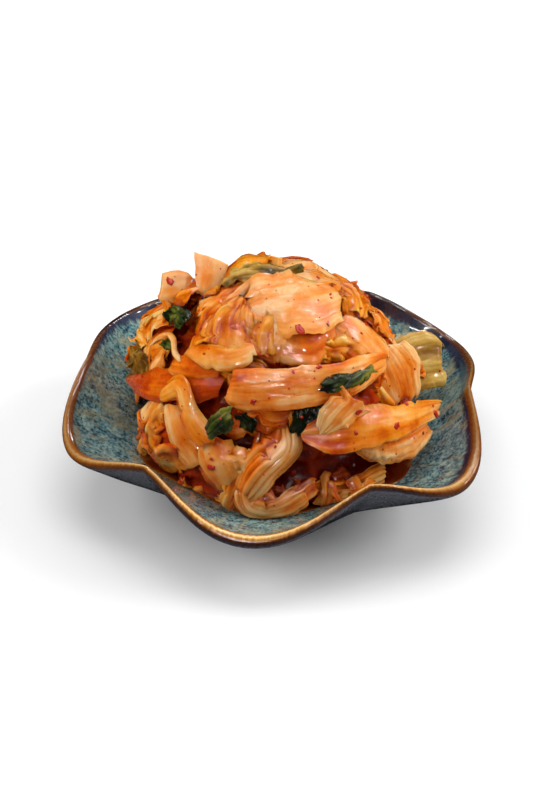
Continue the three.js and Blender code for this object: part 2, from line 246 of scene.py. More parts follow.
def rim_at(degrees):
    """Reach and height of the rim in directions given in degrees."""
    knots = sorted([[a % 360, r, z, 1] for a, r, z in LOBES] + [[a % 360, r, z, 0] for a, r, z in NOTCHES])
    knots = np.array([[knots[-1][0] - 360, *knots[-1][1:]], *knots, [knots[0][0] + 360, *knots[0][1:]]])
    degrees = np.asarray(degrees, float) % 360
    i = np.clip(np.searchsorted(knots[:, 0], degrees, side="right") - 1, 0, len(knots) - 2)
    a, b = knots[i], knots[i + 1]
    t = (degrees - a[..., 0]) / (b[..., 0] - a[..., 0])
    lobe_last = b[..., 3] > 0.5
    s = np.where(lobe_last, t, 1 - t)
    share = (1 - WAVE_SHARPNESS) * (1 - np.cos(np.pi * s)) / 2 + WAVE_SHARPNESS * (1 - (1 - s) ** 2)
    notch = np.where(lobe_last[..., None], a, b)
    lobe = np.where(lobe_last[..., None], b, a)
    return tuple(notch[..., k] + (lobe[..., k] - notch[..., k]) * share for k in (1, 2))


def wave_share(r):
    return np.maximum((r - WAVE_START) / (RIM_REACH - WAVE_START), 0) ** WAVE_GROWTH


def wave(r, z, turn):
    """The point of the dish that the cross-section's [r, z] becomes in a direction."""
    share = wave_share(r)
    reach, height = rim_at(np.degrees(turn))
    out = r + share * (reach - RIM_REACH)
    x = out * np.cos(turn) + FOOT_SHIFT * (1 - share)
    return np.stack([x, out * np.sin(turn), z + share * (height - RIM_HEIGHT)], -1)


def floor_under(x, y):
    """Height of the dish's inside over a point of the table."""
    x, y = np.asarray(x, float), np.asarray(y, float)
    r = np.hypot(x, y)
    for _ in range(8):
        share = wave_share(r)
        px = x - FOOT_SHIFT * (1 - share)
        turn = np.arctan2(y, px)
        reach, height = rim_at(np.degrees(turn))
        r = np.clip(np.hypot(px, y) - share * (reach - RIM_REACH), 0, 72)
    profile = np.array(INSIDE + LIP[:3])
    return np.interp(r, profile[:, 0], profile[:, 1]) + wave_share(r) * (height - RIM_HEIGHT)


def dish():
    knots = np.array([[r, 0, z] for r, z in INSIDE + LIP + OUTSIDE], float)
    profile = curve(knots, np.linspace(0, 1, (len(knots) - 1) * DISH_STEPS + 1))[:, [0, 2]]
    profile = np.maximum(profile, 0)
    arc = np.concatenate([[0], np.cumsum(np.hypot(*np.diff(profile, axis=0).T))])
    crest = arc - arc[np.argmax(profile[:, 1])]
    profile, crest = profile[1:-1], crest[1:-1]
    r, t = np.meshgrid(profile[:, 0], turns_of(DISH_SEGMENTS))
    points = wave(r, np.broadcast_to(profile[:, 1], r.shape), t)
    # a hand-made wall is never quite even
    uneven = 0.16 * noise(points[..., 0] / 13, points[..., 1] / 13, points[..., 2] / 13, 3)
    points[..., 2] += uneven * smooth(33, 45, r)
    columns, n = len(profile), r.size
    ends = [[FOOT_SHIFT, 0, INSIDE[0][1]], [FOOT_SHIFT, 0, OUTSIDE[-1][1]]]
    inner = np.arange(DISH_SEGMENTS) * columns
    outer = inner + columns - 1
    around = np.stack([np.cos(t), np.sin(t), 0 * t], -1).reshape(-1, 3)
    crest = np.append(np.broadcast_to(crest, r.shape), [-90, 90])
    return Pieces().add(
        np.vstack([points.reshape(-1, 3), ends]),
        [ring_faces(DISH_SEGMENTS, columns), cap_faces(inner, n), cap_faces(outer[::-1], n + 1)],
        dict(crest=crest, around=np.vstack([around, [[1, 0, 0]] * 2])),
    )


def brine():
    """The liquid: a closed body from the shore inwards, its top a little uneven."""
    turn = turns_of(BRINE_SEGMENTS)
    low, high = np.full(BRINE_SEGMENTS, 20.0), np.full(BRINE_SEGMENTS, 70.0)
    for _ in range(30):
        shore = (low + high) / 2
        wet = floor_under(FOOT_SHIFT + shore * np.cos(turn), shore * np.sin(turn)) < BRINE_LEVEL
        low, high = np.where(wet, shore, low), np.where(wet, high, shore)
    shore = shore + SHORE_OVERLAP
    r = shore[:, None] * (np.linspace(0.12, 1, BRINE_RINGS)[None, :] ** 0.8)
    x, y = FOOT_SHIFT + r * np.cos(turn)[:, None], r * np.sin(turn)[:, None]
    ripple = 0.14 * noise(x / 5, y / 5, 0, 11) + 0.07 * noise(x / 2, y / 2, 0, 12)
    bed = floor_under(x, y)
    inland = shore[:, None] - r
    top = BRINE_LEVEL + ripple * smooth(0, 2.5, inland) + 0.25 * (1 - smooth(0, 1.5, inland))
    bottom = np.minimum(bed + 0.1, top - 0.1)
    bottom[:, -1] = top[:, -1] - 0.3
    points = np.vstack([np.stack([x, y, h], -1).reshape(-1, 3) for h in (top, bottom)])
    n = r.size
    inner = np.arange(BRINE_SEGMENTS) * BRINE_RINGS
    faces = [
        ring_faces(BRINE_SEGMENTS, BRINE_RINGS),
        ring_faces(BRINE_SEGMENTS, BRINE_RINGS, n)[:, ::-1],
        belt_faces(inner + BRINE_RINGS - 1, n),
        belt_faces(inner, n)[:, INSIDE_OUT],
    ]
    return Pieces().add(points, faces, dict(depth=np.tile((BRINE_LEVEL - bed).ravel(), 2)))


# ---- leaves ----


def outward(p):
    return unit((p - MOUND_MIDDLE) / MOUND_RADII**2)


def mound_share(height):
    return (height - MOUND_MIDDLE[2]) / MOUND_RADII[2]


def mound_height(share):
    return MOUND_MIDDLE[2] + MOUND_RADII[2] * share


def on_mound(degrees, height, lift=0.0):
    """A point of the mound in a direction and at a height, lifted off it."""
    rise = min(mound_share(height), 0.98)
    ring = math.sqrt(max(1 - rise * rise, 0))
    turn = math.radians(degrees)
    p = MOUND_MIDDLE + MOUND_RADII * np.array([ring * math.cos(turn), ring * math.sin(turn), rise])
    return p + lift * outward(p)


def ridged(p, q, run, pitch, seed):
    """Rounded ridges that run along p, branch and merge, with sharp creases between them. About -0.7 to 1."""
    warp = 0.5 * noise(p / (1.2 * run), q / (2.5 * pitch), 3, seed)
    broad = 2.4 * np.abs(noise(q / pitch + warp, p / run, 5, seed)) - 0.7
    fine = 2.4 * np.abs(noise(q / pitch * 2.3 + 2 * warp, p / run * 1.6, 9, seed)) - 0.7
    return 0.75 * broad + 0.3 * fine


def corners(x, spacing, seed):
    """Straight runs between uneven corners, about -1 to 1: the line of a cut or torn edge."""
    rng = np.random.default_rng(seed)
    knots = np.cumsum(rng.uniform(0.5, 1.5, 60)) * spacing
    knots -= knots[20]
    return np.interp(x, knots, rng.uniform(-1, 1, 60))


def laid_on(surface, mid, up, reach=9.0):
    """A sheet lowered along up onto a surface; it bridges small hollows."""
    level = np.full(mid.shape[:2], np.nan)
    for k in np.ndindex(level.shape):
        hit = surface.ray_cast(Vector(mid[k] + up[k] * reach), Vector(-up[k]), 2 * reach)
        if hit[0] is not None:
            level[k] = reach - hit[3]
    if np.isnan(level).all():
        return mid
    level = np.where(np.isnan(level), np.nanmin(level), level)
    level = np.maximum(level, np.quantile(level, 0.25) - 1.0)
    eased = level
    for _ in range(7):
        padded = np.pad(eased, 1, mode="edge")
        eased = (padded[:-2, 1:-1] + padded[2:, 1:-1] + padded[1:-1, :-2] + padded[1:-1, 2:] + 2 * eased) / 6
    return mid + up * (np.maximum(eased, 0.6 * eased + 0.4 * level) + DRAPE_LIFT)[..., None]


def spine_frame(spine, s, face, twist):
    """Centre, along, up and across of a leaf's sheet at shares s of its spine."""
    centre, later, earlier = (
        curve(spine[:, :3], np.clip(s + step, 0, 1).ravel()).reshape(*s.shape, 3)
        for step in (0, 0.004, -0.004)
    )
    along = unit(later - earlier)
    up = outward(centre) if face is None else np.broadcast_to(np.asarray(face, float), centre.shape)
    up = unit(up - along * np.sum(up * along, -1, keepdims=True))
    across = np.cross(up, along)
    if any(twist):
        angle = np.radians(twist[0] + (twist[1] - twist[0]) * s)[..., None]
        up, across = up * np.cos(angle) + across * np.sin(angle), across * np.cos(angle) - up * np.sin(angle)
    return centre, along, up, across


def half_width(spine, s, p, length, right, side, rag, tears, ends, seed):
    """Half the width of a leaf: the spine's own, rounded at the ends, with ragged and torn edges."""
    place = s * (len(spine) - 1)
    i = np.minimum(place.astype(int), len(spine) - 2)
    share = (1 - np.cos(np.pi * (place - i))) / 2
    half = spine[i, 3] * (1 - share) + spine[i + 1, 3] * share
    half = half * np.sqrt(np.maximum(1 - (0.85 if ends < 30 else 0) * np.abs(2 * s - 1) ** ends, 0.02))
    line = np.where(right, corners(p, 6.0, seed * 4 + 3), corners(p, 6.0, seed * 4 + 4))
    half = half * (1 + rag * (0.9 * line + 0.35 * noise(p / 1.8, side, 4, seed)))
    tear = np.random.default_rng(seed + 7000)
    for _ in range(tears):
        at, wide, deep = tear.uniform(0, length), tear.uniform(0.5, 1.2), tear.uniform(0.2, 0.55)
        on_side = right if tear.random() < 0.5 else ~right
        half = half * (1 - deep * on_side * np.exp(-(((p - at) / wide) ** 2)))
    return half


def leaf(spine, face=None, thick=0.7, cup=0.2, roll=None, ruffle=0.0, waves=2.0, fold=0.3, pitch=4.0, run=14.0,
         sway=1.0, fibre=0.06, crinkle=0.1, rag=0.12, tears=0, slant=(0.2, -0.2), ends=9.0, twist=(0.0, 0.0),
         streak=1.0, tone=0.75, tip=None, hue=0.15, edge=0.08, edge_thick=0.15, drape=None, layer=True, seed=0,
         cell=CELL):
    """One piece of leaf along a spine of [x, y, z, half width]: its points, faces and values.

    Shape: thick; cup or roll, the bend across; ruffle in so many waves; fold, ridges by pitch and run; sway;
    fibre; crinkle; rag, slant and ends, its outline. Look: tone, to tip at its far end; hue; streak; edge.
    Drape is a surface that it is laid on; under_layers reads layer.
    """
    spine = np.asarray(spine, float)
    path = curve(spine[:, :3], np.linspace(0, 1, 240))
    length = np.linalg.norm(np.diff(path, axis=0), axis=1).sum()
    widest = spine[:, 3].max()
    rows = int(max(length / cell, 8)) + 1
    columns = int(max(2 * widest / cell, 8)) + 1
    s0 = np.linspace(0, 1, rows)[:, None]
    v = np.linspace(-1, 1, columns)[None, :]
    # ragged, slanted ends
    a, b = (rag * corners(v * widest, 4.0, seed * 4 + 1 + end) + slant[end] * v for end in (0, 1))
    a, b = (a - a.min()) * widest / length, (b - b.min()) * widest / length
    s = a + s0 * (1 - a - b)
    p, q = s * length, v * widest + 0 * s
    right = v > 0
    side = np.where(right, 3.1, 7.7)
    half = half_width(spine, s, p, length, right, side, rag, tears, ends, seed)
    centre, along, up, across = spine_frame(spine, s, face, twist)
    # across: an arc, tighter if it is rolled
    if roll is None:
        bend = 2 * cup + 0.5 * noise(p / 14, side, 21, seed)
    else:
        bend = roll[0] + (roll[1] - roll[0]) * smooth(0, 1, s)
    bend = np.where(np.abs(bend) < 1e-3, 1e-3, bend)
    x = half * np.sin(bend * v) / bend
    y = -half * (1 - np.cos(bend * v)) / bend
    y = y + sway * noise(p / 15, q / 12, 17, seed) * (0.35 + 0.65 * np.abs(v))
    mid = centre + across * x[..., None] + up * y[..., None]
    # ruffles grow towards the edges and fold over themselves
    phase = 2 * np.pi * (waves * s + 0.3 * noise(waves * s * 0.8, side, 9, seed)) + np.where(right, 0, 1.9)
    size = ruffle * (0.75 + 0.6 * noise(waves * s * 0.7, side, 33, seed))
    wavy = size * (np.sin(phase) * np.abs(v) ** 1.6 + 0.4 * np.sin(2.7 * phase + 1) * np.abs(v) ** 3)
    slide = 0.6 * size * np.sin(2 * phase) * np.abs(v) ** 2
    mid = mid + up * wavy[..., None] + along * slide[..., None]
    if drape is not None:
        mid = laid_on(drape, mid, up)
    # relief along the surface's own normal
    normal = unit(np.cross(np.gradient(mid, axis=0), np.gradient(mid, axis=1)))
    facing = np.sign(np.sum(normal * up, -1).mean()) or 1
    ridge = ridged(p, q, run, pitch, seed)
    strand = noise(q / 1.1, p / 16, 7, seed) + 0.6 * noise(q / 0.55, p / 10, 8, seed)
    bubble = 1 - 2 * np.abs(noise(p / 4.2, q / 3.2, 9, seed)) + 0.5 - np.abs(noise(p / 1.9, q / 1.6, 10, seed))
    relief = fold * ridge + fibre * strand + crinkle * bubble
    mid = mid + normal * facing * relief[..., None]
    normal = unit(np.cross(np.gradient(mid, axis=0), np.gradient(mid, axis=1))) * facing
    rim = np.minimum((1 - np.abs(v)) * half, np.minimum(s0, 1 - s0) * length)
    body = edge_thick + (thick - edge_thick) * smooth(-0.2, 2.2, rim)
    sheets = [mid + normal * body[..., None] / 2, mid - normal * body[..., None] / 2]
    for sheet in sheets:
        sheet[..., 2] = np.maximum(sheet[..., 2], floor_under(sheet[..., 0], sheet[..., 1]) + LEAF_CLEARANCE)
    n = rows * columns
    flip = facing < 0
    index = np.arange(n).reshape(rows, columns)
    belt = belt_faces(np.concatenate([index[0], index[1:, -1], index[-1, -2::-1], index[-2:0:-1, 0]]), n)
    quads = [grid_faces(rows, columns, 0, flip), grid_faces(rows, columns, n, not flip)]
    quads.append(belt[:, ::-1] if flip else belt)
    # colour: crests paler and creases darker, partly painted highlight and shade and partly juice in the creases;
    # edges darker; what lies deep in the heap darker, as painted shade
    shade = tone + ((tone if tip is None else tip) - tone) * s + 0 * v
    shade = shade + 0.3 * np.clip(ridge, -0.6, 0.6) * min(fold / 0.5, 1) + 0.04 * strand
    shade = shade + 0.3 * noise(p / 12, q / 7, 12, seed)
    shade = shade - edge * np.exp(-((rim / 1.3) ** 2)) * (0.7 + 0.8 * noise(p / 6, q / 6, 14, seed))
    depth = np.linalg.norm((mid - MOUND_MIDDLE) / MOUND_RADII, axis=-1)
    # painted shade on leaf that lies deep inside the mound
    shade = np.maximum(shade, SHADE_FLOOR) - DEEP_PAINTED_SHADE * smooth(*DEEP_FROM_TO, depth)
    yellow = hue + 0.25 * noise(p / 14, q / 10, 15, seed)
    grain = np.stack([p, q, seed * 7.3 + 0 * p], -1)
    values = dict(tone=shade, hue=yellow, streak=streak + 0 * p, grain=grain)
    values = {key: np.tile(value.reshape(n, -1), (2, 1)) for key, value in values.items()}
    return np.vstack([sheet.reshape(-1, 3) for sheet in sheets]), quads, values


# the looks that most leaves start from
FRONT = [0, -1, 0.5]
PALE = dict(streak=0.55, tone=0.86, fold=0.2, run=30, fibre=0.07, crinkle=0.08, tears=1)
STEM = dict(streak=0.6, tone=0.72, fold=0.2, pitch=2.8, run=22, crinkle=0.05, ends=16, rag=0.07, edge_thick=0.7,
    sway=0.5, hue=0, layer=False)
BLADE = dict(streak=0.7, tone=0.62, fold=0.55, run=8, crinkle=0.12, ruffle=1.6, waves=2.5, hue=0.3, thick=0.5,
    rag=0.2, tears=3)
ROPE = dict(streak=0.7, tone=0.68, fold=0.45, pitch=1.9, run=26, fibre=0.07, crinkle=0.06, hue=0.1, tears=2,
    thick=0.6)
WEB = dict(streak=0.6, tone=0.68, fold=0.45, pitch=3, fibre=0.05, crinkle=0.08, ruffle=1.2, hue=0.3, thick=0.45,
    rag=0.18, tears=2)

# the leaves of the top and the upper left, then those below and in front. A leaf's seed goes by its place here.
CROWN = {
    "topCream": dict(PALE,
        spine=[[-13, -12, 68.5, 8], [-1, -11, 72.5, 13], [10, -9.5, 73.2, 15], [23, 0, 69.5, 11]], thick=0.8,
        ruffle=0.7, edge=0.16, crinkle=0.1, streak=0.6),
    "topWeb": dict(WEB, spine=[[1, -12, 72, 5], [-2, -20, 67, 8], [-2, -26, 61, 8]], hue=0.6, fold=0.6),
    "topRuffled": dict(WEB, spine=[[-9, -6, 72, 5], [-14, -16, 68, 11], [-16, -26.5, 60, 14.5]], fold=0.85,
        pitch=4.5, tone=0.64, ruffle=1.8, waves=1.3, hue=0.4),
    "topBack": dict(PALE, spine=[[3, 6, 73, 6], [13, 6, 72, 7], [23, 9, 67, 6]], tone=0.84, hue=0, ruffle=0.8),
    "topCurl": dict(ROPE, spine=[[-20, -14, 62, 3], [-15, -6, 69, 3.5], [-9, -1, 73, 3.5], [-6, 3, 74, 2.5]],
        cup=0.8, tone=0.74, fold=0.25, pitch=3),
    "topCrease": dict(WEB, spine=[[-16, -5, 68, 4], [-20, -13, 64, 6], [-24, -20, 57, 5]], tone=0.56, ruffle=1.4),
    "topRolledRim": dict(ROPE,
        spine=[[-29.5, -16.5, 57.5, 3], [-21, -25, 60, 4.4], [-13, -28, 61.5, 4.6], [-6, -25.5, 64, 3.5]], cup=0.3,
        tone=0.78, fold=0.15, hue=0.3, pitch=6),
    "topUnder": dict(WEB, spine=[[-24, -20, 57, 4], [-14, -28, 56, 5], [-2, -30, 57, 4]], tone=0.5, hue=0.55,
        fold=1.1, streak=0.4),
    "uprightStem": dict(STEM, spine=[[-23.5, 2, 66.5, 2.6], [-21.2, 8, 71.5, 5], [-20.5, 13, 76.5, 6.2]],
        face=FRONT, thick=1.2, tone=0.92, slant=(0.0, -0.3), fold=0.06, rag=0.05, edge=0.12, ends=40),
    "farLeftPale": dict(STEM, spine=[[-39.5, 11, 63.5, 5], [-33.5, 9, 66, 5.5], [-27, 9, 66.5, 4.5]],
        face=[-0.3, -0.7, 0.6], thick=3.2, tone=0.96, fold=0, fibre=0.03, cup=0.05, edge=0.12, ends=5),
    "farLeftWarm": dict(BLADE, spine=[[-34, 4, 64, 5], [-26, 6, 68, 6], [-16, 6, 68, 5]], tone=0.55, hue=0.5),
    "topOrangeLump": dict(BLADE, spine=[[-19, 10, 69.5, 5], [-9, 13, 75, 7.5], [0, 14.5, 73.5, 5]], tone=0.56,
        hue=0.7, crinkle=0.05, ruffle=1, tears=0, rag=0.08, streak=0.3, fold=0.15),
    "topPaleBit": dict(STEM, spine=[[0, 12, 66, 2.5], [0, 18, 73, 2.8]], face=FRONT, thick=0.9, tone=0.9, hue=0.5,
        edge_thick=0.4, edge=0.1, layer=True),
    "rightTopFrill": dict(BLADE, spine=[[19, 12, 67, 5], [26, 8, 65, 6], [29, -1, 60, 5]], face=[0.7, -0.4, 0.6],
        hue=0.5, waves=3),
    "rightPeach": dict(PALE, spine=[[20, -11, 65, 7], [29, -12.5, 60, 10.5], [37, -14, 49, 8]], thick=0.8, cup=0.3,
        tone=0.8, hue=0),
    "rightPeachFoot": dict(BLADE, spine=[[22, -20, 60, 4], [30, -21, 54, 5], [37, -20, 49, 4]], tone=0.5, hue=0.4),
    "leftWavy": dict(BLADE, spine=[[-48, 13, 45, 8], [-40, 11, 54, 10], [-28, 6, 63, 8]], tone=0.84, waves=1.6,
        ruffle=2.6, fold=0.7, pitch=6, crinkle=0.04, layer=False),
    "leftFold": dict(WEB, spine=[[-45, 6, 43, 7], [-40.5, 1, 50, 8], [-32, -5, 57, 7]], ruffle=2.2, fold=0.4,
        pitch=5, crinkle=0.04, hue=0.25, layer=False),
    "leftWorm": dict(ROPE,
        spine=[[-41.5, 0, 48, 1.1], [-39, -1.5, 52.5, 1.5], [-36, -5, 56, 1.6], [-33.8, -10, 57, 1.5],
               [-33, -15, 55, 1.4], [-30, -19.5, 54, 1.3]], thick=0.8, cup=0.6, tone=0.88, fold=0.1, hue=0),
    "leftBrown": dict(BLADE, spine=[[-49, 10, 42, 5], [-48.5, 4, 38.5, 7.5], [-45, -2.5, 35.5, 5]], tone=0.36,
        hue=1.35, waves=3, ruffle=2, fold=0.8, rag=0.1, tears=0),
    "leftOrange": dict(BLADE, spine=[[-42, -8, 40.5, 4.5], [-40, -6.5, 46, 5.5], [-36, -5, 51, 4]], tone=0.6,
        hue=0.1, ruffle=1, waves=1, crinkle=0.03, fold=0.3),
    "flatLeft": dict(PALE,
        spine=[[-51, 4, 32, 1.5], [-41, -14, 42, 5.5], [-28, -25.5, 50, 6.5], [-16, -30.5, 53, 5]],
        face=[-0.4, -0.6, 0.7], tone=0.26, fold=0.1, hue=0.1, thick=0.6, layer=False),
    "flatStrip": dict(PALE, spine=[[-35, -16, 51, 3], [-26.5, -23.5, 55, 4.5], [-16.5, -27.5, 57, 4]], tone=0.56,
        hue=0.1, thick=0.5),
    "recessFrill": dict(BLADE, spine=[[11, -22, 62, 4], [19, -21, 61, 5], [28, -18, 58, 5]], tone=0.68, waves=3,
        hue=0.6, fold=0.8),
    "recessBits": dict(BLADE, spine=[[-3, -19, 59, 4], [7, -22, 56, 4], [15, -21, 56, 4]], tone=0.42, hue=0.25),
    "topFill": dict(BLADE,
        spine=[[-6, 4, 71.5, 3.5], [-13.7, 1.5, 69.4, 4.5], [-20.8, -1.8, 67, 5], [-26, -4, 63.2, 4]], tone=0.74,
        hue=0.15, ruffle=1.2, fold=0.5, tears=1, rag=0.12),
    "rightShoulder": dict(BLADE, spine=[[31, 14, 57, 4], [36, 5, 55.5, 5], [40, 0, 50, 4.5]], fold=0.5, tears=1,
        rag=0.12),
}

LOWER = {
    "midStem": dict(STEM,
        spine=[[-16, -34.6, 54.1, 6.5], [4, -38.1, 56.1, 7], [22, -32.6, 56.1, 6], [38, -14.6, 52.1, 4]],
        face=FRONT, thick=1.9, fold=0.22, sway=0.9, streak=0.45, hue=0.05),
    "midLobe": dict(WEB, spine=[[-11, -36, 50, 4], [-2, -38, 47.5, 6], [7, -37, 47, 5], [15, -34, 48, 3]],
        face=FRONT, tone=0.52, hue=0.35, ruffle=0.9),
    "rightPale": dict(PALE, spine=[[32.5, -6, 56, 8], [39.5, -12, 44.5, 13.5], [44, -14, 32, 10.5]],
        face=[0.4, -0.8, 0.4], thick=1, fold=0.35, layer=False, streak=0.6, tears=0),
    "rightOlive": dict(PALE, spine=[[41.5, 8.5, 30.8, 9.5], [51.5, 13, 33, 10.5], [61, 16.5, 33.8, 8.5]],
        face=[0.2, -0.6, 0.75], thick=0.9, cup=0.1, fold=0.7, pitch=4.5, hue=1.3, tone=0.7, rag=0.16, edge=0.1,
        layer=False, crinkle=0.03, tears=0),
    "frontRight": dict(PALE,
        spine=[[26, -39.5, 35, 3], [33, -37.5, 34, 6.5], [42.5, -29.5, 30, 7.5], [53, -14, 26.5, 4.5]],
        face=[0.3, -0.8, 0.6], thick=0.6, cup=0.3, ruffle=0.9, tone=0.78, fold=0.45, pitch=2.5, hue=0, crinkle=0.3,
        layer=False),
    "frontRightFrill": dict(PALE, spine=[[14.5, -44, 42.5, 2.5], [19.5, -42.5, 48, 6], [27, -37.5, 53.5, 7.5]],
        face=[0.2, -1, 0.3], thick=0.4, tone=0.9, tip=0.78, cup=0.1, ruffle=0.8, rag=0.2, tears=3, crinkle=0.05,
        fold=0.35, pitch=2, streak=0.9, ends=30, slant=(0, 0.1), hue=0, edge=0, layer=False),
    "wetRight": dict(ROPE, spine=[[9, -43, 20, 3.5], [23, -40.5, 17, 4.5], [38, -30, 17, 4.5]], tone=0.66,
        ruffle=1.2, waves=3, fold=0.7, hue=0.3, layer=False, thick=0.7),
    "wetFront": dict(ROPE, spine=[[13, -45, 17.5, 3.5], [24, -42.5, 16, 3.5], [34, -36.5, 17, 4]], ruffle=1,
        hue=0.3, layer=False, thick=0.7),
    "twistTop": dict(ROPE,
        spine=[[4, -37, 43, 4.5], [4.5, -45, 38, 6.5], [-4, -49.5, 30.5, 6.5], [-10, -51, 21, 5.5]], thick=0.8,
        cup=0.5, fold=0.6, tone=0.8, hue=0, streak=0.6),
    "twistFoot": dict(ROPE, spine=[[-11, -48.5, 25, 5], [-8, -52, 18.5, 5], [3, -52, 18, 5], [12, -48.5, 22, 6]],
        thick=0.8, cup=0.4, fold=0.6, tone=0.82, hue=0, streak=0.6),
    "frontLeftPale": dict(PALE, spine=[[-35, -23, 42, 6], [-31, -33, 34, 9], [-23, -41, 26, 7]], thick=0.8, cup=0.4,
        fold=0.22, tone=0.8, hue=0.05, streak=0.4),
    "foldedStrip": dict(ROPE,
        spine=[[-38, -21, 42, 3], [-31, -27, 49.5, 4], [-28, -34, 43, 4.2], [-21, -41, 36, 4.5]], cup=0.25,
        hue=0.35, fold=0.35, pitch=3),
    "leftmost": dict(BLADE, spine=[[-37, -18, 42, 5], [-43, -21, 30, 6], [-39, -28, 20, 6]], tone=0.76, streak=0.5),
    "frontCream": dict(PALE, spine=[[-21, -37, 38, 7], [-18, -44.5, 30, 8], [-13, -48, 22, 6]], cup=0.3, tone=0.76,
        fold=0.18, tears=3, streak=0.4),
    "frontTail": dict(ROPE, spine=[[-9, -44, 31, 4], [-13, -48, 24, 4], [-16, -50, 17, 3]], tone=0.6, hue=0.35),
    "frontLumps": dict(BLADE, spine=[[-10, -41, 37, 4], [-8, -46, 32, 4], [-5, -47, 27, 4]], tone=0.78, ruffle=1,
        hue=0.1),
    "frontStrands": dict(ROPE, spine=[[-4, -37, 40, 3], [-4, -41, 34, 3], [-2, -44, 30, 3]], tone=0.5),
    "smallCurl": dict(ROPE, spine=[[1, -33, 49, 1.5], [6, -38, 46, 2], [6, -40, 42, 1.5]], thick=0.9, tone=0.55,
        fold=0.2),
    "frontRightFold": dict(PALE,
        spine=[[8, -43.5, 42.5, 3.5], [20, -43, 43, 7], [33, -38, 42, 7], [44.5, -27, 37.5, 5], [57.5, -9, 30, 3]],
        face=[0.3, -0.8, 0.6], thick=0.5, cup=0.12, ruffle=1.3, waves=1.5, tone=0.5, tip=0.76, fold=0.4, pitch=5,
        hue=0.3, crinkle=0.04, layer=False, rag=0.14),
}

# [height, count, first and last direction, half width] of each row
FAR_ROWS = [[25, 5, 18, 162, 9], [40, 4, 30, 150, 9], [54, 3, 40, 150, 9], [65, 2, 60, 130, 8]]


def far_side():
    """The leaves of the far side, laid in rows by the CAD's rule."""
    for row, (height, count, first, last, half) in enumerate(FAR_ROWS):
        for i in range(count):
            middle = first + (last - first) * i / (count - 1)
            slant = (1 if (i + row) % 2 else -1) * (6 + 2 * ((i + 2 * row) % 3))
            reach = 12 / math.cos(math.asin(min(mound_share(height), 0.95)))
            spine = []
            for step in (-1, 0, 1):
                p = on_mound(middle + step * reach, height + step * slant, 0.5 if step else 2)
                spine.append([*p, half * (0.75 if step else 1)])
            look = dict(BLADE, ruffle=1.8) if i % 2 else dict(PALE, ruffle=0.7)
            look.update(waves=2 + i % 2, thick=1.3 if i % 3 else 2.2, cell=COARSE_CELL)
            tone, hue = [0.62, 0.9, 0.72, 0.82][(i + row) % 4], [0.2, 0.35, 0.1, 0.6][(i + 2 * row) % 4]
            yield dict(look, spine=spine, tone=tone, hue=hue)


SCRAP_SPANS = dict(thick=(0.7, 1.3), cup=(0.1, 0.9), ruffle=(0.3, 1.3), waves=(1, 3), fold=(0.2, 0.6))


def scraps(rng, count, degrees, heights, lift, length, half, tones, drape=None):
    """Small loose bits of leaf, lying on the mound."""
    for _ in range(count):
        turn, height = rng.uniform(*degrees), rng.uniform(*heights)
        p = on_mound(turn, height, rng.uniform(*lift))
        n = outward(p)
        side = unit(np.cross(n, [0, 0, 1.0]))
        angle = rng.uniform(0, 2 * math.pi)
        along = side * math.cos(angle) + np.cross(n, side) * math.sin(angle)
        reach = rng.uniform(*length) / 2
        sag = reach**2 / 90
        tilt = rng.normal(0, 0.12)
        spine = [
            [*(p + along * reach * step - n * (sag * abs(step) - tilt * reach * step)), rng.uniform(*half)]
            for step in (-1, -0.3, 0.4, 1)
        ]
        look = [BLADE, ROPE, PALE][rng.integers(3)]
        drawn = {key: rng.uniform(*span) for key, span in dict(SCRAP_SPANS, tone=tones, hue=(0.0, 0.5)).items()}
        twist, slant = ((rng.uniform(-most, most), rng.uniform(-most, most)) for most in (40, 0.6))
        yield dict(look, **drawn, spine=spine, twist=twist, slant=slant, cell=COARSE_CELL, drape=drape)


def under_layers(specs, rng):
    """A thinner piece just under each broad leaf, a little to one side of it."""
    for spec in specs:
        spine = np.array(spec["spine"], float)
        if spine[:, 3].max() < 5 or spec.get("thick", 1) > 2 or not spec.get("layer", True):
            continue
        along = unit(spine[-1, :3] - spine[0, :3])
        out = outward(spine[:, :3])
        side = unit(np.cross(out, along)) * rng.choice([-1, 1])
        slid = side * spine[:, 3:] * rng.uniform(0.3, 0.55)
        spine[:, :3] += slid - out * rng.uniform(1.2, 2.0) + along * rng.uniform(-3, 3)
        spine[:, 3] *= rng.uniform(0.7, 0.95)
        look = dict(thick=0.6, edge_thick=0.2, rag=0.22, tears=3, edge=0.3, cell=COARSE_CELL)
        look.update(ruffle=spec.get("ruffle", 0) + rng.uniform(0.5, 1.3), waves=rng.uniform(1.5, 3.5))
        yield {**spec, **look, "spine": spine, "tone": spec["tone"] - rng.uniform(0.05, 0.2)}


def juice_and_shade(pieces):
    """Darken what lies in crevices, as juice stain and as painted shade: depth under the eased outline of the heap.
    """
    reach = 105
    outline = np.zeros((2 * reach + 1, 2 * reach + 1))

    def place(points):
        d = (points - MOUND_MIDDLE) / MOUND_RADII
        share = np.linalg.norm(d, axis=1)
        lean = np.degrees(np.arccos(np.clip(d[:, 2] / share, -1, 1)))
        flat = np.maximum(np.hypot(d[:, 0], d[:, 1]), 1e-6)
        cells = (np.rint(reach + lean * d[:, k] / flat) for k in (0, 1))
        return share, tuple(np.clip(cell, 0, 2 * reach).astype(int) for cell in cells)

    for piece in pieces:
        for points in piece.points:
            share, cell = place(points)
            np.maximum.at(outline, cell, share)
    weight = np.exp(-((np.arange(-9, 10) / 3.5) ** 2))
    known = (outline > 0).astype(float)
    for axis in (0, 1):
        outline, known = (
            np.apply_along_axis(np.convolve, axis, grid, weight, mode="same") for grid in (outline, known)
        )
    outline = outline / np.maximum(known, 1e-6)
    for piece in pieces:
        for number, points in enumerate(piece.points):
            share, cell = place(points)
            depth = np.clip((outline[cell] - share) * MM_PER_SHARE, *JUICE_AND_SHADE_DEPTHS)
            piece.values["tone"][number] = piece.values["tone"][number] - JUICE_AND_SHADE_PER_MM * depth[:, None]


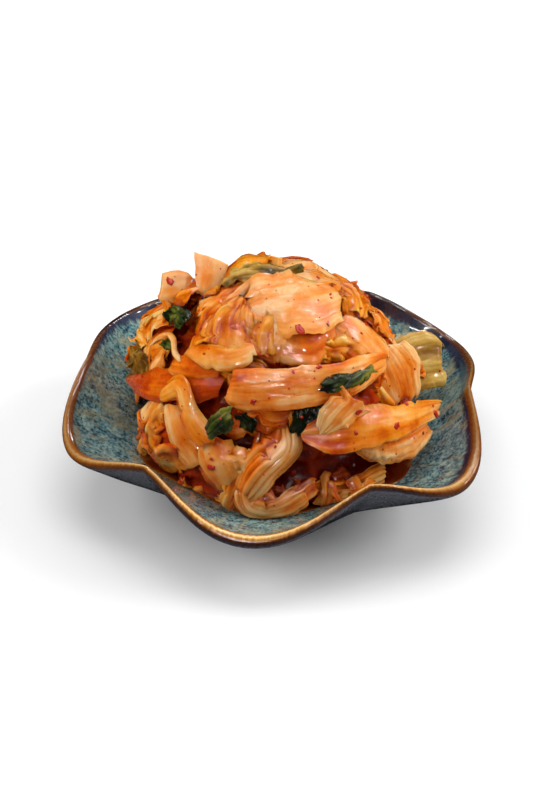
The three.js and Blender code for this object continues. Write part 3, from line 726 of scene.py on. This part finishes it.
def core():
    """What lies under the leaves: a wrinkled wet mass."""
    rise = np.linspace(0, 1, CORE_RINGS)[:-1] * np.pi / 2
    low = np.linspace(0, 1, PLUG_RINGS)[:-1]
    radius = MOUND_RADII[0] * CORE_SHARE * np.cos(rise)
    height = SHOULDER + (MOUND_RADII[2] * CORE_SHARE - 2.5) * np.sin(rise)
    r, t = np.meshgrid(np.concatenate([PLUG_RADIUS + 0 * low, radius]), turns_of(CORE_SEGMENTS))
    z = np.concatenate([PLUG_BOTTOM + (SHOULDER - PLUG_BOTTOM) * low, height])
    z = np.broadcast_to(z, r.shape)
    share = np.clip((z - SHOULDER) / 10, 0, 1)
    lump = 1 + 0.06 * share * (np.sin(3 * t + z / 9) + 0.7 * np.sin(5 * t - z / 6))
    points = np.stack([r * lump * np.cos(t), r * lump * np.sin(t) + MOUND_MIDDLE[1] * share, z], -1)
    out = outward(points)
    x, y, h = np.moveaxis(points, -1, 0)
    wrinkle = 1.5 * (1 - 2.2 * np.abs(noise(x / 9, y / 9, h / 6, 21)))
    wrinkle = wrinkle + 0.7 * (1 - 2.2 * np.abs(noise(x / 4, y / 4, h / 2.6, 22)))
    wrinkle = wrinkle + 0.25 * noise(x / 1.4, y / 1.4, h / 1.0, 23)
    points = points + out * (wrinkle - 1.0)[..., None]
    for middle, radii in HOLLOWS:
        d = np.linalg.norm((points - middle) / (np.array(radii) + 1), axis=-1)
        points = points - out * (min(radii) * 1.3 * np.clip(1 - d * d, 0, 1))[..., None]
    points[..., 2] = np.maximum(points[..., 2], floor_under(points[..., 0], points[..., 1]) + CORE_CLEARANCE)
    apex = [0, MOUND_MIDDLE[1], points[:, -1, 2].mean() + 0.2]
    foot = [FOOT_SHIFT, 0, 6.2]
    columns, n = r.shape[1], r.size
    bottom = np.arange(CORE_SEGMENTS) * columns
    faces = [
        ring_faces(CORE_SEGMENTS, columns)[:, INSIDE_OUT],
        cap_faces(bottom + columns - 1, n),
        cap_faces(bottom[::-1], n + 1),
    ]
    # tone: wrinkle crests lighter and hollows darker, as painted light and shade; darker towards the bottom
    tone = 0.3 + 0.12 * noise(x / 6, y / 6, h / 5, 24) + 0.06 * wrinkle - 0.24 * smooth(38, 22, h)
    hue = 0.15 + 0.2 * noise(x / 12, y / 12, h / 12, 25)
    grain = np.vstack([np.stack([t * 40, h, 0 * h], -1).reshape(-1, 3), [[0, 0, 0]] * 2])
    values = dict(tone=np.append(tone, [0.3] * 2), hue=np.append(hue, [0.1] * 2), streak=0.6, grain=grain)
    return Pieces().add(np.vstack([points.reshape(-1, 3), [apex, foot]]), faces, values)


# ---- materials ----


class Shader:
    """A material built node by node: shader(kind, inputs) returns the output socket."""

    def __init__(self, name):
        self.material = bpy.data.materials.new(name)
        self.material.use_nodes = True
        self.tree = self.material.node_tree
        self.tree.nodes.clear()

    def __call__(self, kind, inputs=None, out=0, **settings):
        made = self.tree.nodes.new("ShaderNode" + kind)
        for key, value in settings.items():
            setattr(made, key, value)
        for key, value in (inputs or {}).items():
            if isinstance(value, bpy.types.NodeSocket):
                self.tree.links.new(value, made.inputs[key])
            else:
                made.inputs[key].default_value = value
        return made.outputs[out]

    def vector(self, name, out=1):
        return self("Attribute", attribute_name=name, attribute_type="GEOMETRY", out=out)

    def value(self, name):
        return self.vector(name, out=2)

    def place(self):
        return self("TexCoord", out=3)

    def math(self, operation, a, b=0.0, c=0.0):
        return self("Math", {0: a, 1: b, 2: c}, operation=operation)

    def times(self, a, b):
        return self.math("MULTIPLY", a, b)

    def plus(self, a, share, b):
        """a + share * b"""
        return self.math("MULTIPLY_ADD", b, share, a)

    def varied(self, a, share, texture):
        """a, raised and lowered by a share of a texture whose mean is a half."""
        return self.plus(a, share, self.math("SUBTRACT", texture, 0.5))

    def spread(self, x, low, high, to_low=0.0, to_high=1.0):
        inputs = {"Value": x, "From Min": low, "From Max": high, "To Min": to_low, "To Max": to_high}
        return self("MapRange", inputs, interpolation_type="SMOOTHSTEP")

    def stretch(self, vector, scale):
        return self("VectorMath", {0: vector, 1: scale}, operation="MULTIPLY")

    def axis(self, vector, which):
        return self("SeparateXYZ", {0: vector}, out=which)

    def noise(self, vector, scale=1.0, detail=2.0, rough=0.5, distortion=0.0):
        inputs = {"Vector": vector, "Scale": scale, "Detail": detail, "Roughness": rough}
        return self("TexNoise", {**inputs, "Distortion": distortion})

    def specks(self, scale, chosen, low, high):
        """Dots of one size in the share of cells that are over chosen."""
        cells = {"Vector": self.place(), "Scale": scale}
        distance, colour = (self("TexVoronoi", cells, out=out) for out in (0, 1))
        kept = self.math("GREATER_THAN", self("SeparateColor", {0: colour}), chosen)
        return self.times(self.spread(distance, low, high), kept)

    def mix(self, share, a, b):
        a, b = ((*c, 1) if isinstance(c, tuple) else c for c in (a, b))
        return self("Mix", {0: share, 6: a, 7: b}, out=2, data_type="RGBA")

    def ramp(self, x, stops):
        made = self.tree.nodes.new("ShaderNodeValToRGB")
        elements = made.color_ramp.elements
        while len(elements) < len(stops):
            elements.new(0.5)
        for element, (position, colour) in zip(elements, stops):
            element.position = position
            element.color = (*colour, 1)
        self.tree.links.new(x, made.inputs[0])
        return made.outputs[0]

    def bump(self, height, strength, distance):
        return self("Bump", {"Height": height, "Strength": strength, "Distance": distance})

    def finish(self, **inputs):
        surface = self("BsdfPrincipled", {key.replace("_", " "): value for key, value in inputs.items()})
        output = self.tree.nodes.new("ShaderNodeOutputMaterial")
        self.tree.links.new(surface, output.inputs[0])
        return self.material


WET_IOR, FLESH_IOR, GLAZE_IOR = 1.36, 1.42, 1.45
STOPS = (0.0, 0.22, 0.42, 0.6, 0.8, 1.0)


def shine(ior, level):
    return dict(IOR=ior, Specular_IOR_Level=level)


def scatter(weight, radius, scale):
    return dict(Subsurface_Weight=weight, Subsurface_Radius=radius, Subsurface_Scale=scale)


def coat(weight, roughness, ior=1.5):
    return dict(Coat_Weight=weight, Coat_Roughness=roughness, Coat_IOR=ior)


# colours of cabbage at the STOPS, from soaked to pale
PEACHY = [(0.15, 0.004, 0.0003), (0.36, 0.022, 0.0005), (0.54, 0.06, 0.001)]
PEACHY += [(0.76, 0.16, 0.004), (0.86, 0.3, 0.05), (0.92, 0.49, 0.19)]
YELLOW = [(0.13, 0.006, 0.0003), (0.34, 0.035, 0.0006), (0.53, 0.09, 0.001)]
YELLOW += [(0.77, 0.22, 0.004), (0.88, 0.33, 0.025), (0.94, 0.52, 0.13)]
OLIVE = [(0.03, 0.008, 0.0006), (0.1, 0.035, 0.002), (0.24, 0.105, 0.008)]
OLIVE += [(0.38, 0.2, 0.03), (0.58, 0.34, 0.06), (0.72, 0.5, 0.14)]


def cabbage(name, wet=1.0):
    m = Shader(name)
    place, grain = m.place(), m.vector("grain")
    tone, hue, streak = m.value("tone"), m.value("hue"), m.value("streak")
    # pale fibres that fade in and out, runs of stain along them, and blots
    patch = m.spread(m.noise(m.stretch(grain, (0.07, 0.14, 1.0))), 0.36, 0.66, 0.15, 1.0)
    fibres = m.noise(m.stretch(grain, (0.05, 0.85, 1.0)), 1.0, 4.0, 0.65)
    runs = m.noise(m.stretch(grain, (0.05, 0.22, 1.0)))
    lines = m.times(m.math("SUBTRACT", fibres, 0.5), m.times(patch, 1.05))
    lines = m.varied(lines, 0.9, runs)
    lines = m.math("MAXIMUM", lines, m.times(lines, 0.5))
    tone = m.plus(tone, streak, lines)
    tone = m.varied(tone, 0.5, m.noise(place, 200.0, 3.0, 0.6))
    peachy, yellow, olive = (m.ramp(tone, list(zip(STOPS, colours))) for colours in (PEACHY, YELLOW, OLIVE))
    colour = m.mix(m.spread(hue, 0.1, 0.65), peachy, yellow)
    colour = m.mix(m.spread(hue, 0.8, 1.15), colour, olive)
    # chilli dust on the wet surface
    colour = m.mix(m.specks(620.0, 0.93, 0.3, 0.16), colour, (0.5, 0.025, 0.003))
    fine = m.noise(m.stretch(grain, (0.35, 2.6, 1.0)), 1.0, 3.0, 0.6)
    film = m.plus(m.noise(place, 300.0), 0.7, m.noise(m.stretch(grain, (0.12, 0.5, 1.0)), 1.0, 1.0))
    return m.finish(
        Base_Color=colour,
        Roughness=m.spread(m.noise(place, 420.0), 0.35, 0.7, 0.2, 0.36),
        **shine(FLESH_IOR, 0.12),
        **scatter(0.6, (1.0, 0.75, 0.5), 0.001),
        **coat(wet, 0.04, FLESH_IOR),
        Coat_Normal=m.bump(film, 1.0, 0.0005),
        Normal=m.bump(m.plus(fine, 0.5, m.noise(place, 900.0)), 0.7, 0.00012),
    )


def leaf_green(name, stops, wet=0.4):
    m = Shader(name)
    place, grain = m.place(), m.vector("grain")
    tone = m.varied(m.value("tone"), 0.7, m.noise(m.stretch(grain, (0.08, 1.5, 1.0)), 1.0, 3.0, 0.6))
    tone = m.varied(tone, 0.9, m.noise(place, 260.0, 3.0))
    height = m.noise(m.stretch(grain, (0.2, 2.2, 1.0)), 1.0, 3.0, 0.6)
    return m.finish(
        Base_Color=m.ramp(tone, stops),
        Roughness=m.spread(m.noise(place, 500.0), 0.3, 0.7, 0.2, 0.4),
        **shine(FLESH_IOR, 0.2),
        **scatter(0.15, (0.6, 0.8, 0.2), 0.0008),
        **coat(wet, 0.05, WET_IOR),
        Normal=m.bump(height, 0.8, 0.00015),
    )


TEAL = [
    (0.36, (0.01, 0.032, 0.05)), (0.45, (0.06, 0.16, 0.19)), (0.53, (0.17, 0.33, 0.34)), (0.64, (0.42, 0.55, 0.45)),
]
# across the lip, from its inside to its outside; the pale stop in the middle is a painted highlight along the crest
HONEY_AND_HIGHLIGHT = [
    (0.03, (0.03, 0.014, 0.02)), (0.12, (0.12, 0.03, 0.006)), (0.25, (0.36, 0.11, 0.012)),
    (0.37, (0.66, 0.29, 0.045)), (0.46, (0.95, 0.68, 0.33)), (0.56, (0.8, 0.44, 0.12)),
    (0.67, (0.42, 0.15, 0.012)), (0.78, (0.14, 0.035, 0.003)), (0.88, (0.03, 0.01, 0.004)),
    (0.98, (0.03, 0.025, 0.04)),
]


def glaze(name):
    """The dish's colours by crest, the way in mm over the cross-section from the top of the lip."""
    m = Shader(name)
    place, around, crest = m.place(), m.vector("around"), m.value("crest")
    # the second share is painted shade on the lip's sides, none at the front
    far, near = m.spread(m.axis(around, 1), 0.0, 0.7), m.spread(m.axis(around, 1), -0.85, -0.35, 0.0, 0.75)
    left = m.spread(m.axis(around, 0), -0.4, -0.85)
    radial = m("CombineXYZ", {0: 0.0, 1: 0.0, 2: m.times(crest, 0.045)})

    def dripping(scale):
        return m("VectorMath", {0: m.stretch(around, (scale, scale, 0.0)), 1: radial}, operation="ADD")

    runs = m.noise(dripping(24.0), 1.0, 3.0, 0.6, 0.6)
    finer = m.noise(dripping(70.0))
    broad = m.noise(place, 75.0, 3.0, 0.6)
    mottle = m.noise(place, 850.0, 3.0, 0.6)
    # the blue-green field, with veins
    even = m.math("ADD", m.times(mottle, 0.6), m.times(m.noise(place, 260.0), 0.4))
    field = m.ramp(even, TEAL)
    veins = m.math("ABSOLUTE", m.math("SUBTRACT", m.noise(place, 330.0, 1.0), 0.5))
    veins = m.times(m.spread(veins, 0.035, 0.0), m.spread(broad, 0.42, 0.6))
    field = m.mix(m.times(veins, 0.5), field, (0.28, 0.34, 0.29))
    # dark pits in clusters
    clusters = m.spread(m.noise(place, 140.0, 3.0, 0.6), 0.46, 0.6, 0.1, 1.0)
    pits = m.times(m.specks(1000.0, 0.35, 0.48, 0.24), clusters)
    field = m.mix(pits, field, (0.012, 0.018, 0.028))
    patches = m.spread(m.noise(place, 95.0, 3.0, 0.6, 0.8), 0.5, 0.62, 0.0, 0.6)
    field = m.mix(patches, field, (0.3, 0.3, 0.18))
    # beige runs of glaze towards the middle
    run = m.times(m.times(m.spread(runs, 0.55, 0.68), m.spread(crest, -5.0, -9.0)), m.spread(crest, -62.0, -30.0))
    field = m.mix(m.times(run, 0.75), field, (0.4, 0.36, 0.21))
    # the dark band under the rim, its lower edge running down in drips
    lower = m.varied(m.varied(crest, 5.0, runs), 6.0, m.noise(place, 28.0, 1.0))
    lower = m.varied(m.plus(m.plus(lower, 1.5, far), -3.0, left), 2.5, finer)
    navy = m.mix(m.spread(broad, 0.35, 0.65), (0.008, 0.014, 0.04), (0.035, 0.045, 0.085))
    colour = m.mix(m.spread(lower, -6.0, -3.6), field, navy)
    # the outside
    slate = m.mix(broad, (0.07, 0.075, 0.09), (0.12, 0.125, 0.14))
    colour = m.mix(m.spread(crest, 1.6, 3.2), colour, slate)
    # honey where the glaze thins over the lip; painted light and shade make it bright at the front and dark at the
    # sides and on the far side
    edge = m.plus(m.plus(m.varied(crest, 1.2, finer), -0.8, left), -1.3, far)
    honey = m.ramp(m.spread(edge, -3.4, 3.2), HONEY_AND_HIGHLIGHT)
    # painted shade: the lip darker at its sides, so it is bright only at the front
    honey = m.mix(near, honey, (0.22, 0.065, 0.008))
    far_painted_shade = m.mix(m.spread(m.noise(place, 60.0, 1.0), 0.4, 0.6), (0.008, 0.009, 0.02), (0.075, 0.03, 0.018))
    # painted shade: the lip darker on the far side
    honey = m.mix(m.times(far, 0.85), honey, far_painted_shade)
    honey = m.mix(m.spread(m.noise(place, 30.0), 0.45, 0.65, 0.0, 0.3), honey, (0.16, 0.05, 0.012))
    on_lip = m.times(m.spread(edge, -3.4, -2.5), m.spread(edge, 3.4, 2.6))
    colour = m.mix(on_lip, colour, honey)
    beads = m.times(m.noise(m.stretch(around, (110.0, 110.0, 0.0)), 1.0, 1.0), on_lip)
    film = m.plus(m.plus(m.noise(place, 160.0), 0.12, m.noise(place, 600.0, 1.0)), 0.7, beads)
    height = m.math("ADD", m.times(mottle, 0.4), m.times(broad, 2.0))
    return m.finish(
        Base_Color=colour,
        Roughness=m.spread(mottle, 0.3, 0.7, 0.22, 0.36),
        **shine(GLAZE_IOR, 0.15),
        **coat(1.0, 0.02),
        Coat_Normal=m.bump(film, 0.2, 0.0006),
        Normal=m.bump(height, 0.3, 0.0006),
    )


# from the shore to the deep
RED = [
    (0.0, (0.26, 0.08, 0.01)), (0.05, (0.12, 0.014, 0.001)), (0.2, (0.07, 0.003, 0.0003)),
    (1.0, (0.026, 0.001, 0.0002)),
]
SCARLET = [(0.3, (0.28, 0.004, 0.002)), (0.55, (0.55, 0.015, 0.004)), (0.8, (0.75, 0.09, 0.01))]


def liquid(name):
    m = Shader(name)
    place = m.place()
    depth = m.varied(m.value("depth"), 3.0, m.noise(place, 130.0, 3.0))
    colour = m.ramp(m.spread(depth, -0.5, 6.0), RED)
    return m.finish(
        Base_Color=m.mix(m.specks(700.0, 0.8, 0.3, 0.15), colour, (0.3, 0.015, 0.002)),
        Roughness=0.12,
        **shine(WET_IOR, 0.15),
        **scatter(0.2, (1.0, 0.3, 0.05), 0.002),
        **coat(0.35, 0.01, WET_IOR),
        Normal=m.bump(m.noise(place, 250.0), 0.3, 0.0003),
    )


def chilli(name):
    m = Shader(name)
    place = m.place()
    return m.finish(
        Base_Color=m.ramp(m.noise(place, 500.0), SCARLET),
        Roughness=0.25,
        **scatter(0.3, (1.0, 0.2, 0.05), 0.001),
        **coat(0.5, 0.1),
        Normal=m.bump(m.noise(place, 1500.0), 0.3, 0.0002),
    )


# ---- camera, light and floor, in metres but for the camera's place ----

CAMERA_RISE = math.radians(34.75)
CAMERA_AWAY = 654
CAMERA_AIM = np.array([-2.45, 0, 25.7])
CAMERA_LENS, CAMERA_SENSOR = 85.5, 36
CAMERA_NEAR, CAMERA_FAR = 0.05, 20
AMBIENT = 0.24
MIDDLE = (0, 0, 0.03)
WHITE, WARM = (1, 1, 1), (1.0, 0.7, 0.3)
FLOOR_HALF = 3.0
# [name, place, size, power] of lamps that light matt surfaces only ...
MATT_LAMPS = [
    ["key", (0.03, 0.24, 1.13), (1.1, 0.6), 6.4],
    ["fill", (-0.3, -1.0, 0.75), (1.0, 0.5), 0.6],
    ["side_left", (-1.1, 0.1, 0.62), (0.8, 0.7), 10.2],
    ["side_right", (1.1, 0.1, 0.62), (0.8, 0.7), 12.6],
]
# ... and of those that are only mirrored in wet and glazed ones
SOFT_LAMPS = [
    ["soft_front", (-0.1, -0.6, 0.95), (0.3, 0.14), 1.1],
    ["soft_top", (0.0, 0.25, 1.1), (0.24, 0.14), 0.9],
]
SPARKS = [
    ["top", (0.1, -0.1, 1.1), (0.08, 0.04), 2.0],
    ["back", (-0.05, 0.62, 0.9), (0.5, 0.012), 1.3],
    ["far", (0.25, 0.9, 0.6), (0.07, 0.04), 1.5],
    ["left", (-0.72, -0.28, 0.76), (0.14, 0.04), 1.3],
    ["right", (0.78, 0.0, 0.68), (0.035, 0.04), 0.6],
    ["low", (0.95, 0.3, 0.35), (0.084, 0.032), 0.7],
    ["near", (0.4, -0.75, 0.8), (0.07, 0.04), 1.4],
    ["high", (0.34, 0.2, 1.0), (0.05, 0.04), 1.4],
    ["over", (-0.36, 0.08, 1.0), (0.05, 0.04), 1.4],
    ["front", (-0.34, -0.5, 0.9), (0.05, 0.04), 1.4],
    ["wall", (-0.22, -0.72, 0.68), (0.4, 0.03), 2.8],
    ["bar", (0.68, 0.27, 0.81), (0.1, 0.045), 2.8],
]


def camera():
    back = Vector((0, -math.cos(CAMERA_RISE), math.sin(CAMERA_RISE)))
    right = Vector((1, 0, 0))
    up = back.cross(right)
    data = bpy.data.cameras.new("camera")
    data.lens, data.sensor_width, data.sensor_height = CAMERA_LENS, CAMERA_SENSOR, CAMERA_SENSOR
    data.sensor_fit = "AUTO"
    data.clip_start, data.clip_end = CAMERA_NEAR, CAMERA_FAR
    made = linked(bpy.data.objects.new("camera", data))
    place = Vector(CAMERA_AIM * MM) + back * CAMERA_AWAY * MM
    made.matrix_world = Matrix.Translation(place) @ Matrix((right, up, back)).transposed().to_4x4()
    bpy.context.scene.camera = made


def lamp(name, place, size, power, mirrored, tint=WHITE, aim=MIDDLE):
    """An area light that is either mirrored in wet and glazed surfaces or lights matt ones."""
    data = bpy.data.lights.new(name, "AREA")
    data.shape, data.size, data.size_y, data.energy = "RECTANGLE", *size, power
    data.color = tint
    made = linked(bpy.data.objects.new(name, data))
    made.location = place
    made.rotation_mode = "QUATERNION"
    made.rotation_quaternion = (Vector(aim) - Vector(place)).to_track_quat("-Z", "Y")
    made.visible_glossy = mirrored
    made.visible_diffuse = made.visible_transmission = not mirrored


def studio():
    scene = bpy.context.scene
    scene.world = world = bpy.data.worlds.new("studio")
    world.use_nodes = True
    background = world.node_tree.nodes["Background"]
    background.inputs["Color"].default_value = (*WHITE, 1)
    background.inputs["Strength"].default_value = AMBIENT
    world.cycles_visibility.glossy = False
    for row in MATT_LAMPS:
        lamp(*row, mirrored=False)
    lamp("backdrop", (0, 1.9, 1.2), (2.5, 1.0), 1.8, mirrored=False, aim=(0, 1.9, 0))
    for row in SOFT_LAMPS:
        lamp(*row, mirrored=True, tint=WARM)
    for name, *row in SPARKS:
        lamp("spark_" + name, *row, mirrored=True)
    mesh = bpy.data.meshes.new("floor")
    square = [(x * FLOOR_HALF, y * FLOOR_HALF, 0) for x, y in ((-1, -1), (1, -1), (1, 1), (-1, 1))]
    mesh.from_pydata(square, [], [(0, 1, 2, 3)])
    mesh.materials.append(Shader("floor_white").finish(Base_Color=(0.95, 0.95, 0.955, 1), Roughness=0.7))
    floor = linked(bpy.data.objects.new("floor", mesh))
    floor.visible_glossy = False
    floor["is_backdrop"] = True
    view = scene.view_settings
    view.view_transform, view.look, view.exposure, view.gamma = "Standard", "None", 0, 1


camera()
studio()

# ---- build ----

dish().make("dish_glazed", glaze("glaze"), "glazed_stoneware", ["bowl"])
brine().make("brine_liquid", liquid("brine"), "brine", ["brine"])


def gather(specs, first):
    """One object of many leaves. Each leaf's seed is the first one's plus its place in the list."""
    piece = Pieces()
    for i, spec in enumerate(specs):
        piece.add(*leaf(**spec, seed=first + i))
    return piece


def surface_of(pieces):
    points = np.concatenate([np.concatenate(p.points) for p in pieces])
    start, faces = 0, []
    for piece in pieces:
        for block in piece.faces:
            faces += (block + start).tolist()
        start += piece.count
    return BVHTree.FromPolygons(points.tolist(), faces)


DARK = [
    (0.15, (0.002, 0.004, 0.001)), (0.45, (0.008, 0.014, 0.002)), (0.7, (0.04, 0.055, 0.006)),
    (1.0, (0.2, 0.18, 0.02)),
]
KHAKI = [(0.1, (0.03, 0.014, 0.001)), (0.35, (0.12, 0.07, 0.004)), (0.6, (0.4, 0.2, 0.02)), (0.85, (0.62, 0.4, 0.09))]
GREEN_LOOK = dict(pitch=2.4, fibre=0.1, crinkle=0.22, cell=SMALL_CELL, edge=0, rag=0.3, tears=4, fold=0.6, ruffle=0.5,
    thick=0.5, tone=0.3)
GREENS = {
    "scallion_top": [
        dict(spine=[[-17, 3, 70, 2.4], [-11, 4, 74.5, 3.2], [-3, 4, 75, 3.4], [4, 4, 74.5, 2.6]], face=[0, -0.5, 1],
            thick=0.7, cup=0.3, fold=0.4, tone=0.6, ruffle=0.7),
        dict(spine=[[1, 3, 73.5, 3.6], [6, 6, 74.5, 4.6], [10.5, 8, 75, 4.8]], face=[0, -0.4, 1], thick=0.6,
            roll=(2.4, 2.9), fold=0.2, tone=0.35, crinkle=0.05, rag=0.08, tears=0, ruffle=0),
    ],
    "scallion_right": [
        dict(spine=[[14, -37.6, 56.7, 1.6], [20, -36.6, 57.7, 3], [27, -32.6, 57.2, 2.4], [33.5, -26, 56.6, 1.8]],
            face=[0, -1, 0.7], cup=0.4, tone=0.25, tip=1, ruffle=1.1, waves=3),
        dict(spine=[[19, -37.6, 55.2, 1.2], [27, -33.6, 58.2, 1.8], [32, -28.1, 58.7, 1.4]], face=[0, -0.8, 1],
            cup=0.5, fold=0.4, tone=0.5, tip=0.95, ruffle=0.6),
    ],
    "scallion_left": [
        dict(spine=[[-36, 3, 61, 3.2], [-32, -3, 62.5, 4.2], [-29, -8, 62, 3]], thick=0.6, cup=0.3, tone=0.4,
            ruffle=1.2),
    ],
    "greens_left": [
        dict(spine=[[-22, -40, 39, 2.2], [-18, -40, 44.5, 4], [-12, -39, 49, 2.6]], face=[-0.2, -0.9, 0.5], cup=0.4,
            tone=0.6, tip=0.85, ruffle=1, waves=2.5),
        dict(spine=[[-12, -38.5, 48, 2.6], [-8.5, -38.5, 43.5, 3.6], [-8, -38.5, 38.5, 2.4]], face=[0.1, -1, 0.4],
            cup=0.3, ruffle=0.9),
    ],
    "greens_middle": [
        dict(spine=[[6, -41, 38, 4], [9.5, -40, 45.5, 5.5], [12, -36.5, 51.5, 5]], face=[0.1, -1, 0.3], cup=0.3,
            fold=1, ruffle=1),
        dict(spine=[[13, -40.5, 40, 3], [14.5, -39.5, 46, 3.4], [17, -36, 51.5, 3]], face=[0.3, -1, 0.3], cup=0.5,
            fold=0.8, tone=0.55, ruffle=0.8),
        dict(spine=[[0, -39, 41, 2], [4, -41, 38.5, 3], [8, -41.5, 38, 2]], face=[0.1, -1, 0.3], ruffle=0.6),
    ],
}
GREEN_BITS = [
    dict(spine=[[-38, -6, 53, 1.4], [-35, -9, 55, 2.2], [-33, -12, 55, 1.4]], tone=0.6, fold=0.3),
    dict(spine=[[-24, -7, 64, 1.2], [-21, -9, 66, 2], [-19, -9, 67, 1.2]], tone=0.45, fold=0.3),
    dict(spine=[[1, -37, 46, 1.5], [4, -38, 44, 2.4], [6, -38, 41, 2]], face=FRONT, tone=0.25, fold=0.4),
]
# count, then ranges of direction, height, lift, length, half width and tone
SCRAPS = [
    [30, (185, 355), (16, 62), (-3.5, -1), (9, 20), (2, 5), (0.35, 0.75)],
    [12, (0, 180), (16, 66), (-3, 0.5), (9, 20), (2, 5), (0.4, 0.85)],
    [10, (262, 285), (14.5, 19), (-2, 1), (7, 14), (1.5, 3.5), (0.35, 0.65)],
    [10, (200, 258), (13.5, 18), (-2, 1), (6, 12), (1.5, 3.5), (0.35, 0.65)],
]
SHREDS = [
    [5, (150, 205), (36, 62), (0, 0.5), (6, 13), (1.2, 3.5), (0.5, 0.85)],
    [5, (285, 335), (15, 24), (0, 0.5), (6, 12), (1.0, 3.0), (0.45, 0.75)],
    [18, (5, 175), (16, 66), (0, 0.5), (7, 15), (1.5, 4.0), (0.45, 0.85)],
    [20, (5, 175), (17, 46), (0, 0.5), (11, 20), (3.0, 6.0), (0.5, 0.85)],
    [6, (196, 228), (16, 30), (0, 0.5), (8, 14), (2.5, 4.5), (0.45, 0.75)],
]
TUCKED = [18, (-28, 46), (17, 50), (-2.5, -0.5), (11, 19), (3.0, 5.5), (0.5, 0.85)]

heap = core()
crown = gather(CROWN.values(), first=100)
front = gather(LOWER.values(), first=200)
far = gather(far_side(), first=300)
rng = np.random.default_rng(31)
low_specs = [spec for row in SCRAPS for spec in scraps(rng, *row)]
low = gather([*low_specs, *under_layers([*CROWN.values(), *LOWER.values()], rng)], first=400)
greens = {
    name: gather([dict(GREEN_LOOK, **spec) for spec in specs], first=500 + 10 * i)
    for i, (name, specs) in enumerate(GREENS.items())
}
bits = gather([dict(GREEN_LOOK, **spec) for spec in GREEN_BITS], first=560)
on_top = surface_of([heap, crown, front, far, low])
rng = np.random.default_rng(32)
shred_specs = [spec for row in SHREDS for spec in scraps(rng, *row, drape=on_top)]
shreds = gather([*shred_specs, *scraps(rng, *TUCKED)], first=600)
everything = [heap, crown, front, far, low, shreds, *greens.values(), bits]
# darken the crevices: juice stain and painted shade
juice_and_shade(everything)

pale_leaf = cabbage("cabbage_leaf")
dark_leaf, khaki_leaf = leaf_green("dark_leaf", DARK), leaf_green("khaki_leaf", KHAKI, 0.25)
heap.make("heap_core", cabbage("soaked_leaf", 0.2), "cabbage", ["kimchi_heap"])
for part, piece in dict(crown=crown, front=front, far=far, scraps=low, shreds=shreds).items():
    piece.make("cabbage_" + part, pale_leaf, "cabbage")
for name, piece in greens.items():
    slot = "scallion" if name in ("scallion_top", "scallion_right") else "dark_leaf"
    piece.make(name + "_piece", khaki_leaf if name == "scallion_top" else dark_leaf, slot, [name])
bits.make("green_bits", dark_leaf, "dark_leaf")

# ---- chilli flakes ----

FLAKE_CORNERS = 9
SCATTERED_FLAKES, SCATTERED_SPECKS = 26, 110
surface = surface_of(everything)


def flake(centre, normal, along, half, rng):
    """A curled chip of dried chilli, about twice as long as half."""
    side = np.cross(normal, along)
    n = FLAKE_CORNERS
    i = np.arange(n)
    outline = rng.uniform(0.65, 1.1, n) * np.where(i % 2, 0.9, 1.05)
    angle = (i + rng.uniform(-0.3, 0.3, n)) / n * 2 * np.pi
    u, w = half * outline * np.cos(angle), 0.7 * half * outline * np.sin(angle)
    curl = rng.uniform(-0.15, 0.25) / half
    thick = 0.14 + 0.08 * half
    rings = []
    for share, level in ((1.0, -0.5), (1.0, 0.5), (0.55, 1.0)):
        lift = thick * level + curl * (u * share) ** 2
        rings.append(centre + np.outer(u * share, along) + np.outer(w * share, side) + np.outer(lift, normal))
    points = np.vstack([*rings, centre - normal * thick * 0.5, centre + normal * thick * 1.1])
    quads = np.vstack([belt_faces(i, n), belt_faces(n + i, n)])[:, INSIDE_OUT]
    return points, [quads, cap_faces(2 * n + i, 3 * n + 1), cap_faces(i[::-1], 3 * n)]


def drop(piece, rng, degrees, height, half, tall=25):
    """Add a flake where a line from outside, towards the mound, first meets the food."""
    start = on_mound(degrees, height, tall)
    inward = -outward(start)
    hit, normal, _, _ = surface.ray_cast(Vector(start), Vector(inward))
    if hit is None:
        return
    normal = np.array(normal)
    if normal @ inward > 0:
        normal = -normal
    along = unit(np.cross(normal, rng.normal(size=3)))
    piece.add(*flake(np.array(hit) + normal * FLAKE_LIFT, normal, along, half, rng))


# [direction, height, half length] of the flakes that the photo shows, then those of the far side
FLAKES = [
    [170, 59.5, 2.4], [288, 63, 2.6], [247, 28, 2.2], [278, 24, 2], [341, 28, 2.4], [317, 35, 2.2], [302, 43, 1.8],
    [342, 62, 2], [261, 48, 2], [291, 55, 1.6], [75, 45, 2], [120, 35, 2], [30, 52, 2.2], [165, 40, 2],
]
rng = np.random.default_rng(47)
flakes, specks = Pieces(), Pieces()
for degrees, height, half in FLAKES:
    drop(flakes, rng, degrees, height, half * 0.8)
for _ in range(SCATTERED_FLAKES):
    drop(flakes, rng, rng.uniform(0, 360), mound_height(rng.uniform(0.05, 0.97)), rng.uniform(0.6, 1.1))
for _ in range(SCATTERED_SPECKS):
    drop(specks, rng, rng.uniform(0, 360), mound_height(rng.uniform(0.02, 0.98)), 0.2 + 0.5 * rng.random() ** 2.5)
flakes.make("chilli_flakes", chilli("chilli_red"), "cabbage")
specks.make("chilli_specks", chilli("chilli_speck"), "cabbage")

shown_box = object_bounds()
cad_mm, shown_mm = ([[round(v / MM, 1) for v in corner] for corner in box] for box in (cad_box, shown_box))
print("cad", cad_mm, "visual", shown_mm)
